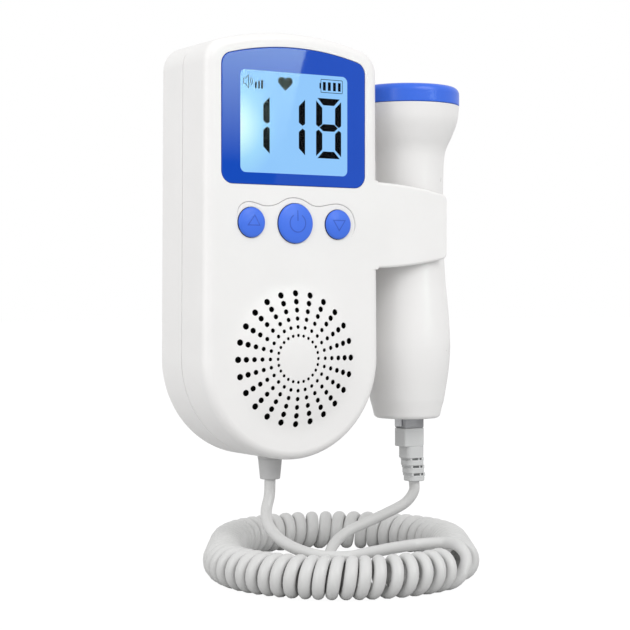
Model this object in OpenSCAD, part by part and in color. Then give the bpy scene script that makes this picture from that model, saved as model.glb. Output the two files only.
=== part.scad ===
// Hand-held fetal doppler monitor with a clip-on probe on a curly cord.
// +X is to the right, +Y goes into the case from its front, +Z is up.
// The origin lies on the flat rear face, level with the middle of the speaker grille.

/* [Case] */
// Width of the case, and twice the radius of its round bottom
unit_w = 65.2; // [58:0.1:74]
// Height of the arched top above the grille centre
unit_top = 104.5; // [100:0.5:118]
// Depth of the case from its flat front to its flat rear
unit_d = 31; // [30:0.5:38]
// Depth of the front shell, from the front to the parting line
front_d = 16.2; // [15.5:0.1:17.5]
// Wall of both shells
wall = 2.2; // [1.8:0.1:2.6]
// Radius of the arch across the top
arch_r = 100; // [80:5:140]
// Radius of the two upper corners
corner_r = 8; // [5:1:12]
// Radius round the front edge
edge_r = 3; // [2:0.5:4]
// Radius round the rear edge
rear_edge_r = 1; // [0.6:0.2:3]
// How far each side leans in towards the top corners
side_lean = 0.6; // [0:0.1:1.5]

/* [Grille] */
// Radius of the domed grille's rim
dome_r = 23.2; // [23:0.1:24]
// Height of the dome above the flat front
dome_h = 2.5; // [1.5:0.1:3.5]
// Rows of sound holes from the middle outwards
hole_rows = 6; // [3:1:6]
// Sound holes in each row
hole_spokes = 24; // [12:2:24]
// Radius of the innermost row
row_first_r = 7.5; // [6:0.5:9]
// Radius of the outermost row
row_last_r = 21; // [18:0.5:21]
// Diameter of the innermost holes
hole_d_in = 1.05; // [0.8:0.05:1.2]
// Diameter of the outermost holes
hole_d_out = 2.05; // [1.4:0.05:2.2]

/* [Display] */
// Width of the blue window panel
lens_w = 53.4; // [50:0.2:56]
// Lower edge of the window panel above the grille centre
lens_z0 = 55.5; // [54:0.5:58]
// Rim of the case above the window panel at the middle
lens_top_margin = 4.9; // [4:0.1:7]
// Thickness of the window panel
lens_t = 1.2; // [1:0.1:1.4]
// Width of the display opening
view_w = 40; // [36:0.5:42]
// Height of the display opening
view_h = 32.4; // [28:0.2:34]
// Height of the display's centre above the grille centre
view_z = 75.4; // [74:0.2:77]
// Thickness of the display glass
lcd_t = 2.8; // [2:0.1:3]
// Thickness of the light guide behind the display
light_t = 4; // [3.4:0.1:4.2]

/* [Buttons] */
// Height of the button row above the grille centre
button_z = 43.4; // [42:0.2:45]
// Distance from the middle button to each outer one
button_gap = 16.1; // [14.5:0.1:17]
// Radius of the middle button
power_r = 6.4; // [5:0.1:7]
// Radius of the outer buttons
side_r = 4.8; // [4:0.1:5.2]
// Height of the buttons above the flat front
button_proud = 1.3; // [0.8:0.1:2]
// Travel of each button
button_travel = 0.6; // [0.3:0.1:0.8]

/* [Speaker] */
// Radius of the speaker
speaker_r = 23.2; // [22.6:0.1:23.4]
// Depth of the speaker from flange to magnet
speaker_d = 10.6; // [9:0.2:11]

/* [Batteries] */
// Radius of one cell
cell_r = 7.1; // [5:0.1:7.2]
// Length of one cell without its nub
cell_len = 49; // [42:0.5:50]
// Length of each contact spring under load
spring_len = 5; // [3:0.5:6]
// Lower end of the battery bay above the grille centre
bay_z0 = 33; // [32:0.5:36]

/* [Probe] */
// Gap between the side of the case and the probe's head
probe_gap = 3.6; // [3:0.1:10]
// How far the plug and its socket sit off the probe's axis
plug_aside = 1; // [0:0.1:1]
// Radius of the probe's head
head_r = 17.9; // [17:0.1:19]
// Height of the head's joint above the grille centre
head_z = 85.5; // [84:0.5:90]
// Height of the blue cap
cap_h = 6.3; // [5:0.1:8]
// Lower end of the probe below the grille centre
probe_end = 21.7; // [20:0.1:23]
// Largest radius of the grip
grip_r = 14.85; // [14:0.05:15.5]
// Radius of the waist that the clip holds
waist_r = 12.4; // [12:0.1:12.6]
// Wall of the probe's shell
probe_wall = 2; // [1.5:0.1:2.2]

/* [Clip] */
// Gap between the probe's waist and the clip round it
clip_gap = 0.9; // [0.7:0.1:1.3]
// Reach of the arms past the probe's axis
arm_reach = 6; // [5:0.1:9]
// Height of the upper edge of the arms at the case
arm_top = 57.9; // [56:0.1:60]
// Height of the lower edge of the arms at the case
arm_bottom = 29.4; // [28:0.1:32]
// Amount by which each edge draws in towards the tip
arm_taper = 3.6; // [2:0.1:5]

/* [Cord] */
// Diameter of the cord
cord_d = 3.7; // [3.7:0.1:3.8]
// Outer diameter of the curly cord's curls
curl_d = 13.6; // [13.4:0.1:13.8]
// Curls in the curly cord
curls = 60; // [50:1:60]

/* [Hidden] */
$fn = 48;

// Gaps between pieces
seat_gap = 0.05;
fit_gap = 0.15;
running_gap = 0.06;
eps = 0.01;

// Layers behind the flat front, as depths
half_w = unit_w / 2;
gasket_t = 0.8;
display_gasket_t = 0.3;
board_t = 1.6;
lcd_d = lens_t + seat_gap + display_gasket_t;
light_d = lcd_d + lcd_t;
board_d = light_d + light_t;
board_back_d = board_d + board_t;

// Display and board
glass_w = view_w + 3.2;
glass_h = view_h + 2.4;
lens_corner_r = 4;
board_half_w = half_w - side_lean - wall - 2.8;
board_z0 = 27;
board_shoulder_z = 87;
board_z1 = view_z + glass_h / 2 + 1;
board_screw_x = glass_w / 2 + 2.4;
board_screw_z = [32, 80];
board_boss_r = 2.2;

// Case screws
screw_r = 1.1;
screw_head_r = 2.2;
screw_head_t = 2;
screw_recess = 5;
screw_len = 16;
boss_r = 2.6;
top_screw_x = half_w - side_lean - 5.8;
top_screw_z = unit_top - 12;
low_screw_x = top_screw_x * cos(30);
low_screw_z = -top_screw_x * sin(30);
case_screw_at = [[-top_screw_x, top_screw_z], [top_screw_x, top_screw_z],
                 [-low_screw_x, low_screw_z], [low_screw_x, low_screw_z]];

// Buttons and their switches
flange_t = 0.9;
flange_lip = 1;
switch_w = 6;
switch_h = 3.5;
plunger_h = 0.8;
plunger_r = 1.7;
button_at = [[-button_gap, side_r], [0, power_r], [button_gap, side_r]];

// Speaker
dome_sphere_r = (dome_r * dome_r + dome_h * dome_h) / (2 * dome_h);
dome_cavity_r = row_last_r + hole_d_out / 2 + 0.1;
cloth_t = 0.3;
speaker_front_d = wall + cloth_t + gasket_t;
magnet_r = 10;
magnet_t = 4;

// Battery bay in the rear shell
door_t = wall;
pivot_r = door_t / 2;
bay_wall = 1.2;
bay_w = 4 * cell_r + 1.6;
contact_t = 0.5;
nub_h = 1;
bay_z1 = bay_z0 + 2 * contact_t + spring_len + cell_len + nub_h;
bay_d = unit_d - door_t - 2 * cell_r - 0.6;
door_ledge = 0.9;
door_half_w = bay_w / 2 + door_ledge;
door_z0 = bay_z0 - door_ledge;
door_z1 = bay_z1 + door_ledge;
door_gap = 0.2;
pivot_d = unit_d - pivot_r;
pivot_z = door_z0 + pivot_r;
pin_r = 0.6;
pin_len = 1.2;

// Probe and clip
probe_x = half_w + probe_gap + head_r;
plug_x = probe_x + plug_aside;
probe_d = unit_d / 2;
cradle_r = waist_r + clip_gap;
arm_t = probe_d - cradle_r;
cradle_wall = 2;
cap_edge_r = 2.5;
spigot_r = head_r - probe_wall - 0.6;
spigot_wall = 1.5;
spigot_h = 3.5;
cap_face_t = 1.6;
crystal_t = 1;
crystal_r = 9.5;
backing_t = 5;
backing_r = spigot_r - spigot_wall - 0.2;
probe_end_r = 11.4;
probe_pcb_t = 1.2;
probe_pcb_len = 50;

// Modular plug and its socket
plug_w = 6.6;
plug_t = 7.7;
plug_top_z = -probe_end + 11.7;
plug_low_z = -probe_end - 3.5;
latch_w = 3.2;
latch_t = 0.9;
latch_out = 0.35;
boot_block_h = 6.4;
boot_neck_h = 4;
rib_h = 1.5;
rib_pitch = 2.7;
boot_ribs = 3;
boot_lean = 2;
boot_low_z = plug_low_z - boot_block_h - boot_neck_h - boot_ribs * rib_pitch;

// Floor on which the cord lies, and the gland's free end
floor_z = -71.7;
gland_h = 7.4;
gland_low_z = -half_w - gland_h;

// Curly cord laid as a ring with two straight sides, seen end-on from the front left
ring_x = 23;
ring_y = -21.6;
ring_turn = 31.3;
ring_r = 39;
ring_straight = 30;
ring_opening = 9;
curl_rings = 8;
curl_sides = 6;
curl_r = (curl_d - cord_d) / 2;
curl_z = floor_z + curl_d / 2;
ring_len = 2 * PI * ring_r + 2 * ring_straight - ring_opening;
curl_turns = curls + 0.5;
curl_steps = curl_turns * curl_rings;
cord_sides = 8;

// Cord from the gland down to the first curl
lower_route = [
    [0, -14.8, -40], [-0.5, -15.2, -45.5], [-3, -17.5, -50.5], [-6, -25, -54.5], [-7.5, -35.5, -57.5],
    [-7, -46, -59.2], [-4.5, -55, -60], [3, -58.5, -60.3], [12, -56.5, -60], [22.5, -53, -59.9],
    [32, -50.5, -59.9], [39.5, -50.5, -59.95], [45.7, -52.3, -59.95]
];

// Cord from the plug down to the last curl
upper_route = [
    [57.1, -15.5, -43.7], [57, -15.4, -47.5], [54, -14.2, -51.5], [47.8, -12, -54.8], [40.8, -10, -57.8],
    [33.8, -9, -60.6], [27, -11.3, -64], [21, -17.5, -67.5], [17, -25, -69.6], [18, -32, -69.85],
    [23.5, -36.8, -69.85], [30, -39, -69.85], [36.8, -40.7, -69.85], [43.4, -43.1, -69.85], [49.8, -45.6, -69.85]
];

// ---------------------------------------------------------------- helpers

function at_depth(d) = d - unit_d;
function along(a, b, t) = a + (b - a) * t;
function unit_vector(v) = v / norm(v);

// A flat shape in X and Z, extruded from one depth to another
module slab(d0, d1) {
    translate([0, at_depth(d1), 0]) rotate([90, 0, 0]) linear_extrude(d1 - d0) children();
}

// A round rod along Y between two depths
module rod(x, z, d0, d1, r) {
    translate([x, at_depth(d0), z]) rotate([-90, 0, 0]) cylinder(h = d1 - d0, r = r);
}

// A profile of radius and depth, turned about an axis along Y
module turned(d0) {
    translate([0, at_depth(d0), 0]) rotate([-90, 0, 0]) rotate_extrude() children();
}

// ---------------------------------------------------------------- case

// Points along an arc about a centre, from one angle to another
function arc(c, r, a0, a1, steps, first = 0) =
    [for (k = [first : steps]) c + r * [cos(along(a0, a1, k / steps)), sin(along(a0, a1, k / steps))]];

// Outline of the case, drawn in by an inset: arched top, two corners and a half-round bottom
arch_centre = [0, unit_top - arch_r];
corner_x = half_w - side_lean - corner_r;
corner_z = arch_centre[1] + sqrt((arch_r - corner_r) ^ 2 - corner_x ^ 2);
corner_lean = asin(corner_x / (arch_r - corner_r));
function case_points(inset) = concat(
    arc(arch_centre, arch_r - inset, 90 + corner_lean, 90 - corner_lean, 14),
    arc([corner_x, corner_z], corner_r - inset, 90 - corner_lean, 0, 6, 1),
    arc([0, 0], half_w - inset, 0, -180, 36),
    arc([-corner_x, corner_z], corner_r - inset, 180, 90 + corner_lean + 15, 5)
);

// Outline of a clip arm, from inside the case to its rounded tip
arm_root_x = half_w - 4;
arm_tip_x = probe_x + arm_reach;
arm_tip_r = 2;
arm_steps = 4;
function arm_draw(x) = arm_taper * ((x - arm_root_x) / (arm_tip_x - arm_root_x)) ^ 2;
function arm_edge_x(k) = along(arm_root_x, arm_tip_x - arm_tip_r, k / arm_steps);
function arm_points(inset) = concat(
    [for (k = [0 : arm_steps]) [arm_edge_x(k), arm_top - arm_draw(arm_edge_x(k)) - inset]],
    arc([arm_tip_x - arm_tip_r, arm_top - arm_draw(arm_tip_x - arm_tip_r) - arm_tip_r],
        arm_tip_r - inset, 90, 0, 4, 1),
    arc([arm_tip_x - arm_tip_r, arm_bottom + arm_draw(arm_tip_x - arm_tip_r) + arm_tip_r],
        arm_tip_r - inset, 0, -90, 4),
    [for (k = [arm_steps - 1 : -1 : 0]) [arm_edge_x(k), arm_bottom + arm_draw(arm_edge_x(k)) + inset]]
);

// One layer of a rounded block: an outline laid at a depth
function layer(outline, d) = [for (p = outline) [p[0], at_depth(d), p[1]]];

// Solid through layers that hold as many points each, from the front backwards
module stacked(layers) {
    polyhedron(points = [for (l = layers) each l], faces = tube_faces(len(layers), len(layers[0])));
}

// Half of the case as a solid, with a rounded edge at its outer face
edge_angles = [0, 30, 60, 90];
module front_half() {
    stacked(concat(
        [for (a = edge_angles) layer(case_points(edge_r * (1 - sin(a))), edge_r * (1 - cos(a)))],
        [layer(case_points(0), front_d)]
    ));
}

module rear_half() {
    stacked(concat(
        [layer(case_points(0), front_d)],
        [for (k = [3 : -1 : 0]) let (a = edge_angles[k])
            layer(case_points(rear_edge_r * (1 - sin(a))), unit_d - rear_edge_r * (1 - cos(a)))]
    ));
}

// The two arms, each with a softened outer edge
arm_soft = 1.1;
module front_arm() {
    stacked([
        layer(arm_points(arm_soft), 0), layer(arm_points(arm_soft * 0.3), arm_soft * 0.3),
        layer(arm_points(0), arm_soft), layer(arm_points(0), arm_t)
    ]);
}

module rear_arm() {
    stacked([
        layer(arm_points(0), unit_d - arm_t), layer(arm_points(0), unit_d - arm_soft),
        layer(arm_points(arm_soft * 0.3), unit_d - arm_soft * 0.3), layer(arm_points(arm_soft), unit_d)
    ]);
}

// Curved back of the clip between two depths, round the probe's waist
module cradle(d0, d1) {
    intersection() {
        difference() {
            translate([probe_x, at_depth(probe_d), arm_bottom]) cylinder(h = arm_top - arm_bottom, r = cradle_r + cradle_wall);
            translate([probe_x, at_depth(probe_d), arm_bottom - 1])
                cylinder(h = arm_top - arm_bottom + 2, r = cradle_r);
        }
        translate([half_w, at_depth(d0), arm_bottom + arm_taper])
            cube([probe_x - half_w, d1 - d0, arm_top - arm_bottom - 2 * arm_taper]);
    }
}

// Short walls that tie the curved back to the side of the case
module cradle_ties(d0, d1) {
    for (z = [arm_bottom + arm_taper, arm_top - arm_taper - cradle_wall]) {
        difference() {
            translate([half_w - 1, at_depth(d0), z]) cube([probe_x - cradle_r - half_w, d1 - d0, cradle_wall]);
            translate([probe_x, at_depth(probe_d), z - 1]) cylinder(h = cradle_wall + 2, r = cradle_r + cradle_wall / 2);
        }
    }
}

// Part of a ball centred behind the grille: from its crown back to a flat at a depth
module dome_cap(ball_r, rim_r, back_d) {
    steps = 8;
    turned(0, $fn = 96) polygon(concat(
        [for (k = [0 : steps]) let (r = rim_r * k / steps)
            [r, dome_sphere_r - dome_h - sqrt(ball_r * ball_r - r * r)]],
        [[rim_r, back_d], [0, back_d]]
    ));
}

module grille_holes() {
    for (row = [0 : hole_rows - 1]) {
        share = hole_rows > 1 ? row / (hole_rows - 1) : 0;
        for (spoke = [0 : hole_spokes - 1]) {
            a = spoke * 360 / hole_spokes;
            r = along(row_first_r, row_last_r, share);
            rod(r * cos(a), r * sin(a), -dome_h - 1, wall + 1, along(hole_d_in, hole_d_out, share) / 2, $fn = 20);
        }
    }
}

module lens_outline(inset = 0) {
    offset(delta = -inset) offset(r = lens_corner_r, $fn = 40) offset(delta = -lens_corner_r) intersection() {
        translate([-lens_w / 2, lens_z0]) square([lens_w, unit_top]);
        translate([0, unit_top - arch_r]) circle(arch_r - lens_top_margin, $fn = 160);
    }
}

module front_shell() {
    color("#e9eaeb") difference() {
        union() {
            difference() {
                front_half();
                slab(wall, front_d + 1) polygon(case_points(wall));
            }
            dome_cap(dome_sphere_r, dome_r, wall);
            front_arm();
            cradle(0, front_d);
            cradle_ties(arm_t / 2, front_d);
            for (p = case_screw_at) rod(p[0], p[1], wall - eps, front_d, boss_r);
            for (s = [-1, 1], z = board_screw_z) rod(s * board_screw_x, z, wall - eps, board_d, board_boss_r);
        }
        dome_cap(dome_sphere_r - wall, dome_cavity_r, wall + eps);
        grille_holes();
        slab(-1, lens_t + seat_gap) lens_outline(-fit_gap);
        slab(-1, wall + 1) square_at(glass_w + 2 * fit_gap, glass_h + 2 * fit_gap);
        for (b = button_at) rod(b[0], button_z, -1, wall + 1, b[1] + fit_gap);
        for (p = case_screw_at) rod(p[0], p[1], front_d - screw_len + 2, front_d + 1, screw_r + seat_gap);
        for (s = [-1, 1], z = board_screw_z) rod(s * board_screw_x, z, wall + 1.5, board_d + 1, screw_r + seat_gap);
        translate([0, at_depth(front_d), gland_low_z]) cylinder(h = 14, r = gland_r + seat_gap);
    }
}

module rear_shell() {
    screw_floor_d = unit_d - screw_recess;
    color("#e6e7e8") difference() {
        union() {
            difference() {
                rear_half();
                slab(front_d - 1, unit_d - wall) polygon(case_points(wall));
            }
            rear_arm();
            cradle(front_d, unit_d);
            cradle_ties(front_d, unit_d - arm_t / 2);
            for (p = case_screw_at) rod(p[0], p[1], front_d, unit_d - wall + eps, screw_head_r + 1.2);
            bay_outside();
        }
        for (p = case_screw_at) {
            rod(p[0], p[1], front_d - 1, unit_d, screw_r + fit_gap);
            rod(p[0], p[1], screw_floor_d, unit_d + 1, screw_head_r + fit_gap);
        }
        translate([-bay_w / 2, at_depth(bay_d), bay_z0]) cube([bay_w, unit_d - bay_d + 1, bay_z1 - bay_z0]);
        translate([-door_half_w - door_gap, at_depth(unit_d - door_t), door_z0 - door_gap])
            cube([2 * (door_half_w + door_gap), door_t + 1, door_z1 - door_z0 + 2 * door_gap]);
        for (s = [-1, 1]) door_pin(s, pin_r + running_gap, pin_len + 0.1);
        translate([0, at_depth(front_d), gland_low_z]) cylinder(h = 14, r = gland_r + seat_gap);
    }
}

// Box of the battery bay before it is hollowed
module bay_outside() {
    translate([-bay_w / 2 - bay_wall, at_depth(bay_d - bay_wall), bay_z0 - bay_wall])
        cube([bay_w + 2 * bay_wall, unit_d - wall - bay_d + bay_wall + eps, bay_z1 - bay_z0 + 2 * bay_wall]);
}

// ---------------------------------------------------------------- display

module window_panel() {
    color("#2652bd") slab(0, lens_t) lens_outline();
}

module display_gasket() {
    color("#303236") slab(lens_t + seat_gap, lcd_d) difference() {
        square_at(glass_w, glass_h);
        square_at(view_w, view_h);
    }
}

module square_at(w, h) {
    translate([-w / 2, view_z - h / 2]) square([w, h]);
}

module display_glass() {
    color("#8fc6fb") slab(lcd_d, lcd_d + lcd_t) square_at(glass_w, glass_h);
}

module display_light() {
    color("#f4f6fa") slab(light_d, light_d + light_t) square_at(glass_w, glass_h);
}

// ---------------------------------------------------------------- board

module main_board() {
    color("#2c6e49") difference() {
        slab(board_d, board_back_d) {
            translate([-board_half_w, board_z0]) square([2 * board_half_w, board_shoulder_z - board_z0]);
            translate([-glass_w / 2, board_z0]) square([glass_w, board_z1 - board_z0]);
        }
        for (s = [-1, 1], z = board_screw_z) rod(s * board_screw_x, z, board_d - 1, board_back_d + 1, screw_r + fit_gap);
    }
}

// Chip, coil, crystal and two capacitors on the board's rear
module board_parts() {
    color("#26282b") {
        slab(board_back_d, board_back_d + 1.6) translate([-5, 60]) square([10, 10]);
        slab(board_back_d, board_back_d + 1.2) translate([8, 46]) square([6, 5]);
        slab(board_back_d, board_back_d + 2) translate([-15, 44]) square([7, 7]);
        slab(board_back_d, board_back_d + 2) translate([6, 78]) square([10, 3.4]);
    }
    color("#8e9398") for (x = [-20.5, 21]) rod(x, 72, board_back_d, board_back_d + 2.2, 2);
}

module button_switches() {
    color("#3a3d41") for (b = button_at) {
        slab(board_d - switch_h, board_d) translate([b[0], button_z]) square(switch_w, center = true);
        rod(b[0], button_z, board_d - switch_h - plunger_h, board_d - switch_h + eps, plunger_r);
    }
}

module board_screws() {
    color("#b9bcc0") for (s = [-1, 1], z = board_screw_z) {
        rod(s * board_screw_x, z, wall + 2.5, board_back_d + eps, screw_r);
        rod(s * board_screw_x, z, board_back_d, board_back_d + 1.3, screw_head_r);
    }
}

module case_screws() {
    floor_d = unit_d - screw_recess;
    color("#b9bcc0") for (p = case_screw_at) difference() {
        union() {
            rod(p[0], p[1], floor_d - screw_len, floor_d + eps, screw_r);
            rod(p[0], p[1], floor_d, floor_d + screw_head_t, screw_head_r);
        }
        for (turn = [0, 90]) translate([p[0], at_depth(floor_d + screw_head_t), p[1]]) rotate([0, turn, 0])
            cube([2.6, 2, 0.6], center = true);
    }
}

// ---------------------------------------------------------------- buttons

// A slightly crowned cap with a flange behind the front wall and a stem towards its switch
module button(x, r) {
    stem_end_d = board_d - switch_h - plunger_h - button_travel - seat_gap;
    flange_d = wall + seat_gap;
    crown = 0.5;
    steps = 6;
    translate([x, 0, button_z]) turned(0) polygon(concat(
        [[0, -button_proud]],
        [for (k = [1 : steps]) [r * k / steps, crown * ((k - 1) / (steps - 1)) ^ 2 - button_proud]],
        [[r, flange_d], [r + flange_lip, flange_d], [r + flange_lip, flange_d + flange_t],
         [plunger_r, flange_d + flange_t], [plunger_r, stem_end_d], [0, stem_end_d]]
    ));
}

module button_up() { color("#4f7de6") button(-button_gap, side_r); }
module button_power() { color("#4f7de6") button(0, power_r); }
module button_down() { color("#4f7de6") button(button_gap, side_r); }

// ---------------------------------------------------------------- speaker

module ring_slab(d0, d1, r_out, r_in) {
    slab(d0, d1) difference() {
        circle(r_out, $fn = 96);
        circle(r_in, $fn = 96);
    }
}

module speaker_cloth() {
    color("#17181a") slab(wall, wall + cloth_t) circle(speaker_r, $fn = 96);
}

module speaker_gasket() {
    color("#2b2d30") ring_slab(wall + cloth_t, speaker_front_d, speaker_r, speaker_r - 1.2);
}

// Pressed basket: a flange, a sloping wall and a flat bottom for the magnet
module speaker_frame() {
    bottom = speaker_d - magnet_t;
    color("#8b8f95") turned(speaker_front_d) polygon([
        [speaker_r - 3.2, 0], [speaker_r, 0], [speaker_r, 1.2], [speaker_r - 2.6, 1.2],
        [magnet_r + 1, bottom], [4.5, bottom], [4.5, bottom - 0.7], [magnet_r + 0.6, bottom - 0.7],
        [speaker_r - 4.6, 1.4], [speaker_r - 4.6, 1], [speaker_r - 3.2, 1]
    ]);
}

module speaker_cone() {
    rim = speaker_r - 3.4;
    color("#3b3d40") turned(speaker_front_d) polygon([
        [0, 3.2], [5, 4.2], [rim - 1.4, 0.6], [rim, 0.6], [rim, 1], [rim - 1.3, 1], [5, 4.6], [0, 3.6]
    ]);
}

module speaker_magnet() {
    color("#55595e") rod(0, 0, speaker_front_d + speaker_d - magnet_t, speaker_front_d + speaker_d, magnet_r);
}

// ---------------------------------------------------------------- batteries

// Two cells lie side by side, head to tail
module battery_cells() {
    for (s = [-1, 1]) cell(s);
}

module cell(s) {
    plain_z = s < 0 ? bay_z0 + contact_t + spring_len : bay_z0 + contact_t + nub_h;
    nub_z = s < 0 ? plain_z + cell_len : plain_z - nub_h;
    axis_d = unit_d - door_t - 0.3 - cell_r;
    color("#3f7d4e") translate([s * (cell_r + 0.3), at_depth(axis_d), plain_z]) cylinder(h = cell_len, r = cell_r);
    color("#c9ccd0") translate([s * (cell_r + 0.3), at_depth(axis_d), nub_z]) cylinder(h = nub_h, r = 2.7);
}

// A plate at each end of each cell, with a spring on the plate that meets the flat end
module battery_contacts() {
    axis_d = unit_d - door_t - 0.3 - cell_r;
    color("#cfd2d6") for (s = [-1, 1]) {
        for (z = [bay_z0, bay_z1 - contact_t])
            translate([s * (cell_r + 0.3) - 5, at_depth(axis_d) - 5, z]) cube([10, 10, contact_t]);
        spring_z = s < 0 ? bay_z0 + contact_t : bay_z1 - contact_t - spring_len;
        translate([s * (cell_r + 0.3), at_depth(axis_d), spring_z]) difference() {
            cylinder(h = spring_len, r = 3.2);
            translate([0, 0, -1]) cylinder(h = spring_len + 2, r = 2.4);
        }
    }
}

// Pin at one side of the door's lower edge
module door_pin(s, r, len) {
    translate([s * door_half_w, at_depth(pivot_d), pivot_z]) rotate([0, s * 90, 0]) translate([0, 0, -0.5])
        cylinder(h = len + 0.5, r = r);
}

module battery_door() {
    grip_z = door_z1 - 7;
    color("#e3e4e6") difference() {
        union() {
            translate([-door_half_w, at_depth(unit_d - door_t), pivot_z])
                cube([2 * door_half_w, door_t, door_z1 - pivot_z]);
            translate([-door_half_w, at_depth(pivot_d), pivot_z]) rotate([0, 90, 0])
                cylinder(h = 2 * door_half_w, r = pivot_r);
            for (s = [-1, 1]) door_pin(s, pin_r, pin_len);
        }
        translate([0, at_depth(unit_d) + 7.2, grip_z]) rotate([0, 90, 0]) cylinder(h = 14, r = 8, center = true);
    }
}

// ---------------------------------------------------------------- probe

// Outer radius of the probe: from the grip's end up to the waist, and then out to the head
probe_keys = [
    [-probe_end, probe_end_r], [-probe_end + 2, probe_end_r + 0.5], [-probe_end + 6, probe_end_r + 1.3],
    [-10.8, grip_r - 1.35], [-5, grip_r - 0.5], [1, grip_r - 0.02], [5, grip_r], [11, grip_r - 0.3],
    [18, grip_r - 0.85], [25, waist_r + 0.85], [33, waist_r + 0.4], [45, waist_r + 0.08], [56, waist_r],
    [66, waist_r + 0.25], [head_z - 15, waist_r + 0.95], [head_z - 10.6, head_r - 2.6],
    [head_z - 5.5, head_r - 0.7], [head_z, head_r]
];

// A smooth curve through the key points, with steps between each pair
function curve_point(a, b, c, d, t) =
    0.5 * (2 * b + (c - a) * t + (2 * a - 5 * b + 4 * c - d) * t * t + (3 * b - a - 3 * c + d) * t * t * t);
function smooth(keys, steps) = [
    for (i = [0 : len(keys) - 2]) for (k = [0 : steps - 1])
        curve_point(keys[max(i - 1, 0)], keys[i], keys[i + 1], keys[min(i + 2, len(keys) - 1)], k / steps),
    keys[len(keys) - 1]
];

module probe_shell() {
    outer = smooth(probe_keys, 2);
    floor = -probe_end + probe_wall;
    seat_r = spigot_r + seat_gap;
    inner = [for (p = outer) if (p[0] > floor && p[0] < head_z - spigot_h - 3) [p[1] - probe_wall, p[0]]];
    color("#e4e5e6") difference() {
        translate([probe_x, at_depth(probe_d), 0]) rotate_extrude() polygon(concat(
            [[0, -probe_end], [probe_end_r - 0.5, -probe_end]],
            [for (i = [1 : len(outer) - 1]) [outer[i][1], outer[i][0]]],
            [[seat_r, head_z], [seat_r, head_z - spigot_h - 1]],
            [for (i = [len(inner) - 1 : -1 : 0]) inner[i]],
            [[inner[0][0], floor], [0, floor]]
        ));
        plug_space(-probe_end - 1, floor + 1);
    }
}

// Room for the plug and its latch between two heights
module plug_space(z0, z1) {
    translate([plug_x - plug_t / 2 - fit_gap, at_depth(probe_d) - plug_w / 2 - fit_gap, z0])
        cube([plug_t + 2 * fit_gap, plug_w + 2 * fit_gap, z1 - z0]);
    translate([plug_x - plug_t / 2 - latch_out - latch_t - fit_gap, at_depth(probe_d) - latch_w / 2 - fit_gap, z0])
        cube([latch_t + 1, latch_w + 2 * fit_gap, z1 - z0]);
}

// Cap profile: a rounded upper edge outside, a spigot and a hollow for the sensing parts inside
module probe_cap() {
    top = head_z + cap_h;
    color("#4777e0") translate([probe_x, at_depth(probe_d), 0]) rotate_extrude() polygon(concat(
        [[head_r, head_z]],
        [for (a = [0 : 15 : 90])
            [head_r - cap_edge_r * (1 - cos(a)), top - cap_edge_r * (1 - sin(a))]],
        [[0, top], [0, top - cap_face_t], [spigot_r - spigot_wall, top - cap_face_t],
         [spigot_r - spigot_wall, head_z - spigot_h], [spigot_r, head_z - spigot_h], [spigot_r, head_z]]
    ));
}

module probe_crystals() {
    top = head_z + cap_h - cap_face_t;
    color("#d8c48a") for (s = [-1, 1]) translate([probe_x, at_depth(probe_d), top - crystal_t]) intersection() {
        cylinder(h = crystal_t, r = crystal_r);
        translate([s > 0 ? 0.4 : -crystal_r - 0.4, -crystal_r, 0]) cube([crystal_r, 2 * crystal_r, crystal_t]);
    }
}

module probe_backing() {
    top = head_z + cap_h - cap_face_t - crystal_t;
    color("#4a4642") translate([probe_x, at_depth(probe_d), top - backing_t]) cylinder(h = backing_t, r = backing_r);
}

module probe_board() {
    half = waist_r - probe_wall - fit_gap;
    top = head_z + cap_h - cap_face_t - crystal_t - backing_t;
    color("#2c6e49") translate([probe_x - half, at_depth(probe_d) - probe_pcb_t / 2, top - 0.3 - probe_pcb_len])
        cube([2 * half, probe_pcb_t, probe_pcb_len]);
}

module probe_socket() {
    socket_h = 15;
    floor = -probe_end + probe_wall;
    color("#2e3034") difference() {
        translate([plug_x - 7, at_depth(probe_d) - 5.5, floor]) cube([13, 11, socket_h]);
        plug_space(floor - 1, plug_top_z + 0.5);
    }
}

// ---------------------------------------------------------------- plug

contact_w = 0.4;
contact_pitch = 1.25;
contact_len = 6;

module plug_housing() {
    color("#b9bcc0") difference() {
        translate([plug_x - plug_t / 2, at_depth(probe_d) - plug_w / 2, plug_low_z])
            cube([plug_t, plug_w, plug_top_z - plug_low_z]);
        contact_slots(contact_w / 2 + seat_gap);
    }
}

module contact_slots(half) {
    for (i = [-1.5 : 1 : 1.5])
        translate([plug_x + plug_t / 2 - 1.2, at_depth(probe_d) + i * contact_pitch - half, plug_top_z - contact_len])
            cube([1.3, 2 * half, contact_len + 0.1]);
}

module plug_contacts() {
    color("#d2a84a") for (i = [-1.5 : 1 : 1.5])
        translate([plug_x + plug_t / 2 - 1.15, at_depth(probe_d) + i * contact_pitch - contact_w / 2,
                   plug_top_z - contact_len + 0.05])
            cube([1, contact_w, contact_len - 0.1]);
}

// Springy tab along the side of the housing, fixed at its upper end
module plug_latch() {
    x = plug_x - plug_t / 2 - latch_out - latch_t;
    color("#c4c7ca") {
        translate([x, at_depth(probe_d) - latch_w / 2, plug_low_z + 0.6])
            cube([latch_t, latch_w, plug_top_z - plug_low_z - 0.8]);
        translate([x, at_depth(probe_d) - latch_w / 2, plug_top_z - 1.8]) cube([latch_t + latch_out, latch_w, 1.6]);
    }
}

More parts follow.
